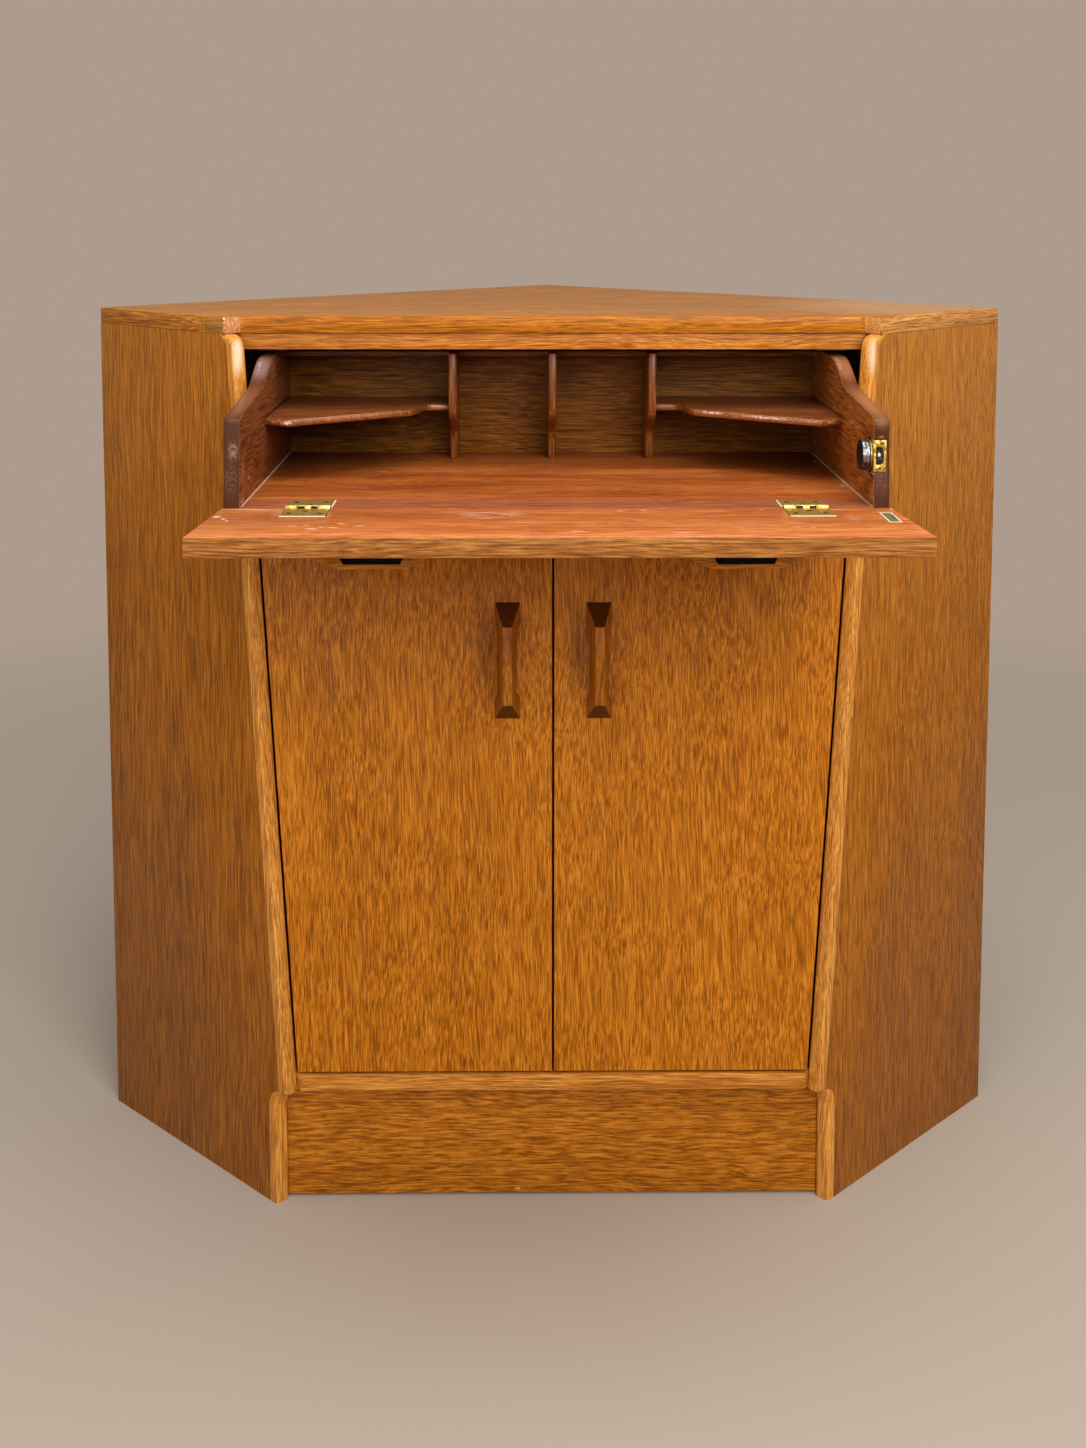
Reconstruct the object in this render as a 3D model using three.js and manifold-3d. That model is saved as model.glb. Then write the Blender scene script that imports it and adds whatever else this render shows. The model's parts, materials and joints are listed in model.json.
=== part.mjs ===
// Corner cupboard with doors below and a pull-out writing slide behind a fall flap.
// Millimetres, +Z up. The front faces -Y and the room corner is at +Y.
// At rest the slide is pulled out, the flap lies open and the doors are shut.

import * as THREE from 'three';
import { mergeVertices } from 'three/addons/utils/BufferGeometryUtils.js';
import Module from 'manifold-3d';

const wasm = await Module();
wasm.setup();

// Driving sizes of the case
const height = 860;
const wallLeg = 660;
const overrun = 5;
const glueLine = 0.3;

const top = {
  thickness: 16,
  sideLength: 217,
  facet: 16,
  coveRadius: 9,
  frontPieceDepth: 22,
  lipping: 5,
};

const side = {
  thickness: 16,
  baseLength: 281,
  noseLength: 297.5,
  headLength: 228.5,
  notchHeight: 25,
  shoulder: 16,
  edgeDepth: 10,
  edgeRound: 4,
};

const backPanel = { thickness: 4, lift: 3 };
const cornerPost = { width: 28 };
const plinth = { height: 116, thickness: 16, lift: 3, setback: 2 };
const floorBoard = { thickness: 16 };
const topRail = { height: 16, thickness: 16, flapGap: 1 };
const midRail = { height: 30, thickness: 20, slideGap: 3 };
const bed = { thickness: 16, slideGap: 1 };
const facade = { proud: 2 };

const shelf = { thickness: 15, rise: 258, frontSetback: 34 };
const shelfRest = { width: 16, height: 20, length: 190, start: 24 };

// Driving sizes of the doors and what they turn on
const door = { thickness: 16, edgeGap: 0.5, meetingGap: 2, floorGap: 2.5, headGap: 2, edgeRound: 1 };
const pivot = { radius: 3, inset: 10, inDoor: 11, inBoard: 9, clearance: 0.3 };
const handle = {
  length: 112,
  ridgeLength: 74,
  width: 24,
  ridgeWidth: 9,
  stand: 30,
  slotLength: 72,
  slotCrownLength: 58,
  barThickness: 18,
  headDrop: 74,
  centreOffset: 43.7,
};
const doorCatch = { width: 56, depth: 14, height: 17, gap: 0.6 };
const doorPlate = { width: 20, height: 13, thickness: 1.5, centreOffset: 16, headDrop: 2 };

// Driving sizes of the writing slide
const slide = {
  travel: 206,
  deskDrop: 132,
  deskThickness: 15,
  sideThickness: 14,
  openingGap: 2.5,
  railGap: 6,
  flapSeat: 0.5,
  lippingWidth: 42,
  backThickness: 6,
  backGap: 3,
  kickerGap: 2,
  edgeRound: 1.5,
};

// The curved top edge of a slide side, as lengths back from its front and up from the desk
const sideCurve = {
  cornerRise: 70,
  cornerRun: 20,
  cornerTop: 77.5,
  rampRun: 134,
  rampRise: 86.5,
  swellRun: 218,
  startPullShare: 0.34,
  endPullShare: 0.42,
};

const divider = {
  thickness: 8,
  footDepth: 45,
  headDepth: 86,
  footRise: 21,
  swellRise: 54,
  centreOffset: 98,
  edgeRound: 2,
};
const rackShelf = {
  rise: 58,
  thickness: 7,
  innerDepth: 68,
  shoulderDepth: 114,
  sideDepth: 177,
  noseDepth: 193,
  shoulderRun: 38,
  shoulderStart: 18,
  noseInset: 22,
  edgeRound: 2.5,
};
const rackTop = { depth: 50, thickness: 5, rise: 104 };
const guide = { width: 12, height: 20, stopHeight: 44, clearance: 1, start: 22, wallGap: 2 };
const slideStop = { length: 18, width: 8, height: 18, gap: 0.6, overGuide: 4, wallGap: 3 };
const kicker = { width: 28, length: 260, inset: 20 };

// Driving sizes of the flap and its fittings
const flap = { thickness: 16, sideGap: 1.2, headGap: 1.5, jointGap: 0.5 };
const pull = {
  length: 100,
  shoulderLength: 87,
  shoulderStand: 14,
  gripLength: 54,
  stand: 21,
  width: 22,
  gripWidth: 16,
  slotWall: 4,
  slotLength: 62,
  slotCrownLength: 46,
  slotDepth: 17,
  centreOffset: 151.5,
  hingeDistance: 65,
};
const hinge = {
  length: 38,
  leafWidth: 38,
  leafThickness: 1.5,
  proud: 0.3,
  knuckleRadius: 3,
  middleLength: 18,
  knuckleGap: 0.4,
  pinRadius: 1.2,
  boreRadius: 1.5,
  centreOffset: 211,
  mortiseGap: 0.3,
};
const lock = {
  rise: 44,
  caseRadius: 13.5,
  caseSetback: 17,
  caseInset: 6.5,
  caseStand: 9.5,
  pocketGap: 2,
  forendWidth: 11,
  forendHeight: 27,
  forendThickness: 1.5,
  slotWidth: 6.6,
  slotHeight: 15,
  boltWidth: 4,
  boltHeight: 9,
  boltLength: 12,
  boltThrow: 5,
  boltSetback: 0.8,
  channelGap: 0.4,
};
const strike = { length: 44, width: 11, thickness: 1.5, slotLength: 18, slotWidth: 6, pocketDepth: 7 };

// Number of straight steps that stand for a curve
const arcSteps = 8;
const roundSteps = 3;
const barrelSides = 24;
const knuckleSides = 16;

// Sizes that follow from the ones above
const diagonal = Math.SQRT2;
const eighthTurn = Math.PI / 4;
const wallX = wallLeg / diagonal;
const innerX = wallX - side.thickness * diagonal;
const backReach = wallX - (backPanel.thickness + glueLine) * diagonal;
const sideReach = innerX - glueLine * diagonal;
const topUnderside = height - top.thickness;
const floorTop = plinth.height + floorBoard.thickness;

const slant = (side.noseLength - side.headLength) / (topUnderside - plinth.height);
const tiltSlope = slant / diagonal;
const tilt = Math.atan(tiltSlope);
const slantLength = (z) => side.noseLength - slant * (z - plinth.height);
const cornerY = (z) => (side.thickness - slantLength(z)) / diagonal;
const faceY = (z) => cornerY(z) - facade.proud;
const openingHalf = (z) => innerX + cornerY(z);

const deskTop = topUnderside - slide.deskDrop;
const slideBottom = deskTop - slide.deskThickness;
const slideTop = topUnderside - topRail.height - slide.railGap;
const midRailTop = slideBottom - midRail.slideGap;
const midRailBottom = midRailTop - midRail.height;
const bedTop = slideBottom - bed.slideGap;
const closedFront = faceY(deskTop) + flap.thickness / Math.cos(tilt);
const slideFront = closedFront - slide.travel;
const slideOuter = openingHalf(deskTop) - slide.openingGap;
const slideInner = slideOuter - slide.sideThickness;
const slideReach = wallX - (backPanel.thickness + slide.backGap) * diagonal - slide.travel;
const slideBackOuter = slideReach - slideInner - slide.flapSeat;
const slideBackInner = slideBackOuter - slide.backThickness;
const flapTop = topUnderside - flap.headGap - flap.thickness * Math.sin(tilt);
const flapLength = (flapTop - deskTop) / Math.cos(tilt);
const flapFront = slideFront - flapLength;
const originShift = -(flapFront + wallX) / 2;

// Finishes
const oak = new THREE.MeshStandardMaterial({ color: 0xb5772f, roughness: 0.45, metalness: 0 });
const oakEdge = new THREE.MeshStandardMaterial({ color: 0xc88a3c, roughness: 0.42, metalness: 0 });
const mahogany = new THREE.MeshStandardMaterial({ color: 0x8c4a28, roughness: 0.4, metalness: 0 });
const teak = new THREE.MeshStandardMaterial({ color: 0x6e3517, roughness: 0.45, metalness: 0 });
const plainWood = new THREE.MeshStandardMaterial({ color: 0xb99868, roughness: 0.7, metalness: 0 });
const brass = new THREE.MeshStandardMaterial({ color: 0xc9a53a, roughness: 0.3, metalness: 1 });
const steel = new THREE.MeshStandardMaterial({ color: 0x6b6d70, roughness: 0.35, metalness: 1 });
const plastic = new THREE.MeshStandardMaterial({ color: 0x3a2a20, roughness: 0.5, metalness: 0 });

// Turns a closed mesh into a solid that can be cut and joined
function solidOf(geometry) {
  const bare = new THREE.BufferGeometry();
  bare.setAttribute('position', geometry.getAttribute('position'));
  if (geometry.index) bare.setIndex(geometry.index);
  const merged = mergeVertices(bare);
  const mesh = new wasm.Mesh({
    numProp: 3,
    vertProperties: new Float32Array(merged.getAttribute('position').array),
    triVerts: new Uint32Array(merged.index.array),
  });
  return new wasm.Manifold(mesh);
}

function geometryOf(solid) {
  const mesh = solid.getMesh();
  const geometry = new THREE.BufferGeometry();
  geometry.setAttribute('position', new THREE.BufferAttribute(mesh.vertProperties, 3));
  geometry.setIndex(new THREE.BufferAttribute(mesh.triVerts, 1));
  geometry.computeVertexNormals();
  return geometry;
}

function cut(base, ...tools) {
  return geometryOf(tools.reduce((solid, tool) => solid.subtract(solidOf(tool)), solidOf(base)));
}

function join(base, ...others) {
  return geometryOf(others.reduce((solid, other) => solid.add(solidOf(other)), solidOf(base)));
}

function common(base, other) {
  return geometryOf(solidOf(base).intersect(solidOf(other)));
}

// An outline from a list of corner points
function outline(points) {
  return new THREE.Shape(points.map(([x, y]) => new THREE.Vector2(x, y)));
}

// Mirrors a right-hand list of points to the left, so that both halves make one outline
function mirrored(points) {
  const left = points.filter(([x]) => x > 0).map(([x, y]) => [-x, y]).reverse();
  return [...points, ...left];
}

function extruded(shape, depth, round = 0) {
  const geometry = new THREE.ExtrudeGeometry(shape, {
    depth: depth - 2 * round,
    curveSegments: arcSteps,
    bevelEnabled: round > 0,
    bevelThickness: round,
    bevelSize: round,
    bevelOffset: -round,
    bevelSegments: roundSteps,
  });
  return geometry.translate(0, 0, round);
}

// A plate whose outline lies in XY and whose thickness runs from one height to another
function plateXY(shape, low, high, round = 0) {
  return extruded(shape, high - low, round).translate(0, 0, low);
}

// A plate whose outline lies in XZ and whose thickness runs along Y
function plateXZ(shape, low, high, round = 0) {
  const turn = new THREE.Matrix4().set(1, 0, 0, 0, 0, 0, -1, 0, 0, 1, 0, 0, 0, 0, 0, 1);
  return extruded(shape, high - low, round).applyMatrix4(turn).translate(0, high, 0);
}

// A plate whose outline lies in YZ and whose thickness runs along X
function plateYZ(shape, low, high, round = 0) {
  const turn = new THREE.Matrix4().set(0, 0, 1, 0, 1, 0, 0, 0, 0, 1, 0, 0, 0, 0, 0, 1);
  return extruded(shape, high - low, round).applyMatrix4(turn).translate(low, 0, 0);
}

function block(xLow, xHigh, yLow, yHigh, zLow, zHigh) {
  const geometry = new THREE.BoxGeometry(xHigh - xLow, yHigh - yLow, zHigh - zLow);
  return geometry.translate((xLow + xHigh) / 2, (yLow + yHigh) / 2, (zLow + zHigh) / 2);
}

// A round bar along X
function barX(radius, xLow, xHigh, sides) {
  const bar = new THREE.CylinderGeometry(radius, radius, xHigh - xLow, sides);
  return bar.rotateZ(Math.PI / 2).translate((xLow + xHigh) / 2, 0, 0);
}

function piece(name, geometry, material) {
  const mesh = new THREE.Mesh(geometry, material.clone());
  mesh.name = name;
  return mesh;
}

// The two hands of the cupboard: which way X runs, and the name that the pieces take
const hands = [
  { sign: -1, name: 'left' },
  { sign: 1, name: 'right' },
];

const cupboard = new THREE.Group();
cupboard.position.y = originShift;

// The tilted plane of the doors: X across, Y into the case, Z up the slope
const frontPlane = new THREE.Group();
frontPlane.position.y = faceY(0);
frontPlane.rotation.x = -tilt;
frontPlane.updateMatrix();
cupboard.add(frontPlane);

const slopeUp = (z) => z / Math.cos(tilt);
const spaceInFront = block(-wallX, wallX, -wallX, 0, -overrun, slopeUp(height) + overrun)
  .applyMatrix4(frontPlane.matrix);

// Side panels stand square to the walls: X runs forward from the wall end, Z up
function sideFrame(hand) {
  const frame = new THREE.Group();
  frame.position.x = hand.sign * wallX;
  frame.rotation.z = hand.sign < 0 ? -eighthTurn : Math.PI + eighthTurn;
  cupboard.add(frame);
  return frame;
}

// Wall faces: X runs along the wall from the side panel to the room corner, Z up
function wallFrame(hand) {
  const frame = new THREE.Group();
  frame.position.x = hand.sign * wallX;
  frame.rotation.z = hand.sign < 0 ? eighthTurn : Math.PI - eighthTurn;
  cupboard.add(frame);
  return frame;
}

// The front line of a side panel, from the floor up, drawn inside the real edge by an inset
function sideFrontLine(inset, extra) {
  const shape = new THREE.Shape();
  const base = side.baseLength - inset;
  const nose = side.noseLength - inset;
  const foot = plinth.height - side.notchHeight;
  const shoulderFoot = topUnderside - side.shoulder;
  const headX = slantLength(topUnderside) - inset;
  shape.moveTo(-extra, -extra);
  shape.lineTo(base, -extra);
  shape.lineTo(base, foot);
  shape.quadraticCurveTo(base, plinth.height, nose, plinth.height);
  shape.lineTo(slantLength(shoulderFoot) - inset, shoulderFoot);
  shape.quadraticCurveTo(headX, topUnderside, headX - side.shoulder, topUnderside);
  shape.lineTo(headX - side.shoulder, topUnderside + extra);
  shape.lineTo(-extra, topUnderside + extra);
  return shape;
}

function sidePanel(hand) {
  const frame = sideFrame(hand);
  const low = hand.sign < 0 ? 0 : -side.thickness;
  const high = low + side.thickness;
  const rounded = plateXZ(sideFrontLine(0, overrun), low, high, side.edgeRound);
  const boardSpace = plateXZ(sideFrontLine(side.edgeDepth, 0), low - overrun, high + overrun);
  const jointSpace = plateXZ(sideFrontLine(side.edgeDepth - glueLine, overrun), low - overrun, high + overrun);
  const reach = side.baseLength + side.noseLength;
  const heightSpace = block(0, reach, low - overrun, high + overrun, 0, topUnderside);
  frame.add(piece(`side_panel_${hand.name}`, common(rounded, boardSpace), oak));
  frame.add(piece(`side_edge_${hand.name}`, cut(common(rounded, heightSpace), jointSpace), oakEdge));
}

function backPanels(hand) {
  const frame = wallFrame(hand);
  const low = hand.sign < 0 ? -backPanel.thickness : 0;
  const high = low + backPanel.thickness;
  const start = side.thickness + glueLine;
  const end = hand.sign < 0 ? wallLeg : wallLeg - backPanel.thickness - glueLine;
  const panel = block(start, end, low, high, backPanel.lift, topUnderside);
  frame.add(piece(`back_panel_${hand.name}`, panel, plainWood));
}

// The post in the room corner, square to the walls
function postSpace(gap) {
  const frame = wallFrame(hands[0]);
  frame.updateMatrix();
  const skin = backPanel.thickness + glueLine - gap;
  const end = wallLeg - skin;
  const start = wallLeg - backPanel.thickness - glueLine - cornerPost.width - gap;
  const depth = backPanel.thickness + glueLine + cornerPost.width + gap;
  const post = block(start, end, -depth, -skin, 0, topUnderside);
  return post.applyMatrix4(frame.matrix);
}

// A level board that fills the case from a straight front line back to the walls
function caseBoard(front, low, high) {
  const middleX = (sideReach + backReach) / 2;
  const corners = [
    [sideReach + front, front],
    [middleX, middleX - sideReach],
    [0, backReach],
  ];
  const board = plateXY(outline(mirrored(corners)), low, high);
  return cut(board, postSpace(glueLine));
}

// The outline of the whole top, with coves behind the two front corners
function topOutline() {
  const nearX = wallX - top.sideLength / diagonal;
  const nearY = -top.sideLength / diagonal;
  const facetX = nearX - top.facet / diagonal;
  const facetY = nearY + top.facet / diagonal;
  const coveX = facetX - top.coveRadius / diagonal;
  const frontY = facetY + top.coveRadius * (1 - 1 / diagonal);
  const pull = top.coveRadius * Math.tan(eighthTurn / 2);
  const shape = new THREE.Shape();
  shape.moveTo(0, wallX);
  shape.lineTo(-wallX, 0);
  shape.lineTo(-nearX, nearY);
  shape.lineTo(-facetX, facetY);
  shape.quadraticCurveTo(-coveX - pull, frontY, -coveX, frontY);
  shape.lineTo(coveX, frontY);
  shape.quadraticCurveTo(coveX + pull, frontY, facetX, facetY);
  shape.lineTo(nearX, nearY);
  shape.lineTo(wallX, 0);
  return shape;
}

// The line beside the top's edge at a depth inside it, from a joint line back to the wall
function topSideLine(inset, jointY) {
  return [
    [wallX + jointY - inset * diagonal, jointY],
    [wallX - inset / diagonal, inset / diagonal],
  ];
}

function topBoard() {
  const jointY = top.frontPieceDepth - top.sideLength / diagonal;
  const whole = plateXY(topOutline(), topUnderside, height);
  const frontSpace = block(-wallX, wallX, -wallX, jointY, topUnderside - overrun, height + overrun);
  cupboard.add(piece('top_front_edge', common(whole, frontSpace), oakEdge));

  const panelSide = topSideLine(top.lipping + glueLine, jointY + glueLine);
  const panel = plateXY(outline(mirrored([...panelSide, [0, wallX]])), topUnderside, height);
  cupboard.add(piece('top_panel', panel, oak));

  const [frontOuter, backOuter] = topSideLine(0, jointY + glueLine);
  const [frontInner, backInner] = topSideLine(top.lipping, jointY + glueLine);
  hands.forEach((hand) => {
    const corners = [frontOuter, backOuter, backInner, frontInner].map(([x, y]) => [hand.sign * x, y]);
    cupboard.add(piece(`top_lipping_${hand.name}`, plateXY(outline(corners), topUnderside, height), oakEdge));
  });
}

function topRailBoard() {
  const front = cornerY(topUnderside) - facade.proud + flap.thickness / Math.cos(tilt) + topRail.flapGap;
  const back = front + topRail.thickness;
  const shape = outline(mirrored([[sideReach + front, front], [sideReach + back, back]]));
  const rail = plateXY(shape, topUnderside - topRail.height, topUnderside);
  cupboard.add(piece('top_rail', rail, oakEdge));
  return back;
}

function midRailBoard() {
  const front = faceY(midRailBottom) - overrun;
  const back = faceY(midRailTop) + midRail.thickness;
  const shape = outline(mirrored([[sideReach + front, front], [sideReach + back, back]]));
  const rail = plateXY(shape, midRailBottom, midRailTop);
  const holes = hands.map((hand) => pivotBar(hand, 'upper', pivot.clearance).applyMatrix4(frontPlane.matrix));
  cupboard.add(piece('mid_rail', cut(rail, spaceInFront, ...holes), oakEdge));
  return back;
}

function bottomBoard() {
  const front = faceY(plinth.height) - overrun;
  const board = caseBoard(front, plinth.height, floorTop);
  const holes = hands.map((hand) => pivotBar(hand, 'lower', pivot.clearance).applyMatrix4(frontPlane.matrix));
  cupboard.add(piece('bottom_board', cut(board, spaceInFront, ...holes), oakEdge));
}

function plinthBoard() {
  const baseCorner = (side.thickness - side.baseLength) / diagonal;
  const front = baseCorner + plinth.setback;
  const back = front + plinth.thickness;
  const shape = outline(mirrored([[sideReach + front, front], [sideReach + back, back]]));
  cupboard.add(piece('plinth', plateXY(shape, plinth.lift, plinth.height), oak));
}

function cupboardShelf() {
  const low = floorTop + shelf.rise;
  const front = faceY(low) + door.thickness + shelf.frontSetback;
  cupboard.add(piece('cupboard_shelf', caseBoard(front, low, low + shelf.thickness), plainWood));
  hands.forEach((hand) => {
    const frame = sideFrame(hand);
    const inner = side.thickness + glueLine;
    const near = hand.sign < 0 ? inner : -inner - shelfRest.width;
    const rest = block(
      shelfRest.start,
      shelfRest.start + shelfRest.length,
      near,
      near + shelfRest.width,
      low - shelfRest.height,
      low,
    );
    frame.add(piece(`shelf_rest_${hand.name}`, rest, plainWood));
  });
}

// Where a door hangs: its outer edge leans with the side panel, and the pivots lean with it
const doorFoot = slopeUp(floorTop + door.floorGap);
const doorHead = slopeUp(midRailBottom - door.headGap);
const edgeLean = Math.sin(tilt);
const doorEdge = (rise) => openingHalf(0) + edgeLean * rise - door.edgeGap;
const pivotX = (rise) => doorEdge(rise) - pivot.inset * Math.hypot(1, edgeLean);

// A pivot pin in the plane of the doors, thicker by a gap where it is the space for one
function pivotBar(hand, end, gap) {
  const foot = end === 'lower' ? doorFoot - pivot.inBoard : doorHead - pivot.inDoor;
  const head = end === 'lower' ? doorFoot + pivot.inDoor : doorHead + pivot.inBoard;
  const length = head - foot + 2 * gap;
  const bar = new THREE.CylinderGeometry(pivot.radius + gap, pivot.radius + gap, length, barrelSides);
  bar.rotateX(Math.PI / 2);
  bar.rotateY(hand.sign * Math.atan(edgeLean));
  const middle = (foot + head) / 2;
  return bar.translate(hand.sign * pivotX(middle), door.thickness / 2, middle);
}

// A handle's side view with its finger slot, which runs in from -X as far as slotStop. X runs across the
// handle, Y out from its face (negative), Z along it.
function bridge(profile, slot, width, slotStop) {
  return cut(
    plateYZ(outline(profile), -width, width),
    plateYZ(outline(slot), -width - overrun, slotStop),
  );
}

// Hipped on all four sides, from its foot on the door to a narrow flat ridge
function handleBody() {
  const end = handle.length / 2;
  const ridge = handle.ridgeLength / 2;
  const slotEnd = handle.slotLength / 2;
  const crownEnd = handle.slotCrownLength / 2;
  const slotDepth = handle.stand - handle.barThickness;
  const wide = handle.width / 2;
  const slim = handle.ridgeWidth / 2;
  const profile = [
    [0, -end],
    [0, end],
    [-handle.stand, ridge],
    [-handle.stand, -ridge],
  ];
  const slot = [
    [overrun, -slotEnd],
    [overrun, slotEnd],
    [0, slotEnd],
    [-slotDepth, crownEnd],
    [-slotDepth, -crownEnd],
    [0, -slotEnd],
  ];
  const section = [
    [wide, 0],
    [-wide, 0],
    [-slim, -handle.stand],
    [slim, -handle.stand],
  ];
  const sideView = bridge(profile, slot, handle.width, handle.width + overrun);
  return common(sideView, plateXY(outline(section), -handle.length, handle.length));
}

function doors() {
  hands.forEach((hand) => {
    const near = door.meetingGap / 2;
    const corners = [
      [near, doorFoot],
      [doorEdge(doorFoot), doorFoot],
      [doorEdge(doorHead), doorHead],
      [near, doorHead],
    ].map(([x, z]) => [hand.sign * x, z]);
    const board = plateXZ(outline(corners), 0, door.thickness, door.edgeRound);
    const holes = ['lower', 'upper'].map((end) => pivotBar(hand, end, pivot.clearance));
    frontPlane.add(piece(`door_${hand.name}`, cut(board, ...holes), oak));
    frontPlane.add(piece(`pivot_lower_${hand.name}`, pivotBar(hand, 'lower', 0), brass));
    frontPlane.add(piece(`pivot_upper_${hand.name}`, pivotBar(hand, 'upper', 0), brass));

    const grip = handleBody();
    const centre = doorHead - handle.headDrop - handle.length / 2;
    grip.translate(hand.sign * handle.centreOffset, -glueLine, centre);
    frontPlane.add(piece(`door_handle_${hand.name}`, grip, teak));

    const plateX = hand.sign * doorPlate.centreOffset;
    const plateTop = doorHead - doorPlate.headDrop;
    const plate = block(
      plateX - doorPlate.width / 2,
      plateX + doorPlate.width / 2,
      door.thickness + glueLine,
      door.thickness + glueLine + doorPlate.thickness,
      plateTop - doorPlate.height,
      plateTop,
    );
    frontPlane.add(piece(`door_plate_${hand.name}`, plate, steel));
  });
}

// The level board that the slide runs on, and what hangs under it
function slideBed(front) {
  const bedBottom = bedTop - bed.thickness;
  cupboard.add(piece('slide_bed', caseBoard(front + glueLine, bedBottom, bedTop), plainWood));
}

// The magnetic catch under the mid rail, close behind the plates on the doors
function magnetCatch() {
  const plateBack = door.thickness + glueLine + doorPlate.thickness;
  const front = faceY(midRailBottom) + plateBack + doorCatch.gap;
  const head = midRailBottom - glueLine;
  const halfWidth = doorCatch.width / 2;
  const body = block(-halfWidth, halfWidth, front, front + doorCatch.depth, head - doorCatch.height, head);
  cupboard.add(piece('door_catch', body, plastic));
}

// Guides beside the slide, raised at the front so that the slide's stops meet them
function slideGuides() {
  const inner = slideOuter + guide.clearance;
  const outer = inner + guide.width;
  const front = faceY(deskTop) + guide.start;
  const stopY = slideReach - slideOuter - slideStop.wallGap - slideStop.length - slideStop.width - slideStop.gap;
  const back = backReach - outer - guide.wallGap;
  const shape = outline([
    [front, bedTop],
    [back, bedTop],
    [back, bedTop + guide.height],
    [stopY, bedTop + guide.height],
    [stopY, bedTop + guide.stopHeight],
    [front, bedTop + guide.stopHeight],
  ]);
  hands.forEach((hand) => {
    const low = hand.sign < 0 ? -outer : inner;
    cupboard.add(piece(`slide_guide_${hand.name}`, plateYZ(shape, low, low + guide.width), plainWood));
    const stopLow = hand.sign < 0 ? -slideOuter - slideStop.width : slideOuter;
    const stop = block(
      stopLow,
      stopLow + slideStop.width,
      stopY + slideStop.gap,
      stopY + slideStop.gap + slideStop.length,
      bedTop + guide.height + slideStop.overGuide,
      bedTop + guide.height + slideStop.overGuide + slideStop.height,
    );
    cupboard.add(piece(`slide_stop_${hand.name}`, stop, plainWood));
  });
}

// Battens under the top that keep the slide from tipping when it is out
function kickers(front) {
  hands.forEach((hand) => {
    const middle = hand.sign * (slideOuter - slide.sideThickness / 2);
    const batten = block(
      middle - kicker.width / 2,
      middle + kicker.width / 2,
      front + kicker.inset,
      front + kicker.inset + kicker.length,
      slideTop + slide.kickerGap,
      topUnderside,
    );
    cupboard.add(piece(`kicker_${hand.name}`, batten, plainWood));
  });
}

// The space that a slide part may fill towards the room corner when it is pulled out
function slideBackSpace() {
  const reach = slideReach;
  const shape = outline([[0, reach], [-reach - wallX, -wallX], [reach + wallX, -wallX]]);
  return plateXY(shape, 0, height);
}

function sideOutline() {
  const front = slideFront + slide.flapSeat;
  const curve = sideCurve;
  const up = (rise) => deskTop + rise;
  const lean = (rise) => front + tiltSlope * rise;
  const swell = curve.swellRun - curve.rampRun;
  const rampSlope = (curve.rampRise - curve.cornerTop) / (curve.rampRun - curve.cornerRun);
  const startPull = swell * curve.startPullShare;
  const back = slideReach - slideInner;
  const shape = new THREE.Shape();
  shape.moveTo(front, slideBottom);
  shape.lineTo(back, slideBottom);
  shape.lineTo(back, slideTop);
  shape.lineTo(front + curve.swellRun, slideTop);
  shape.bezierCurveTo(
    front + curve.swellRun - swell * curve.endPullShare,
    slideTop,
    front + curve.rampRun + startPull,
    up(curve.rampRise) + rampSlope * startPull,
    front + curve.rampRun,
    up(curve.rampRise),
  );
  shape.lineTo(front + curve.cornerRun, up(curve.cornerTop));
  shape.quadraticCurveTo(lean(curve.cornerTop), up(curve.cornerTop), lean(curve.cornerRise), up(curve.cornerRise));
  shape.lineTo(front, deskTop);
  return shape;
}

// Lock parts lie in the leaning plane of the slide side's front edge: Y is zero on that edge
const lockFrame = new THREE.Group();
lockFrame.position.set(slideInner, slideFront + slide.flapSeat, deskTop);
lockFrame.rotation.x = -tilt;
lockFrame.updateMatrix();
cupboard.add(lockFrame);

const lockCentre = new THREE.Vector3(0, lock.caseSetback, lock.rise);

function lockCase(gap) {
  const inset = lock.caseInset + gap;
  const stand = gap > 0 ? overrun + lock.caseStand : lock.caseStand;
  const drum = barX(lock.caseRadius + gap, -stand, inset, barrelSides);
  return drum.translate(0, lockCentre.y, lockCentre.z);
}

function boltBlock(gap, front, back) {
  const middle = lock.forendWidth / 2;
  return block(
    middle - lock.boltWidth / 2 - gap,
    middle + lock.boltWidth / 2 + gap,
    front,
    back,
    lock.rise - lock.boltHeight / 2 - gap,
    lock.rise + lock.boltHeight / 2 + gap,
  );
}

// The D-shaped slot of the lock's face plate, flat on its inner side
function forendSlot() {
  const low = lock.forendWidth / 2 - lock.slotWidth / 2;
  const rise = lock.slotHeight / 2;
  const shape = new THREE.Shape();
  shape.moveTo(low, lock.rise - rise);
  shape.lineTo(low + lock.slotWidth / 2, lock.rise - rise);
  shape.quadraticCurveTo(low + lock.slotWidth, lock.rise - rise, low + lock.slotWidth, lock.rise);
  shape.quadraticCurveTo(low + lock.slotWidth, lock.rise + rise, low + lock.slotWidth / 2, lock.rise + rise);
  shape.lineTo(low, lock.rise + rise);
  return plateXZ(shape, -overrun, overrun);
}

function forendBlock(gap) {
  const half = lock.forendHeight / 2 + gap;
  const depth = lock.forendThickness + gap;
  return block(-gap, lock.forendWidth + gap, gap > 0 ? -overrun : 0, depth, lock.rise - half, lock.rise + half);
}

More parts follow.
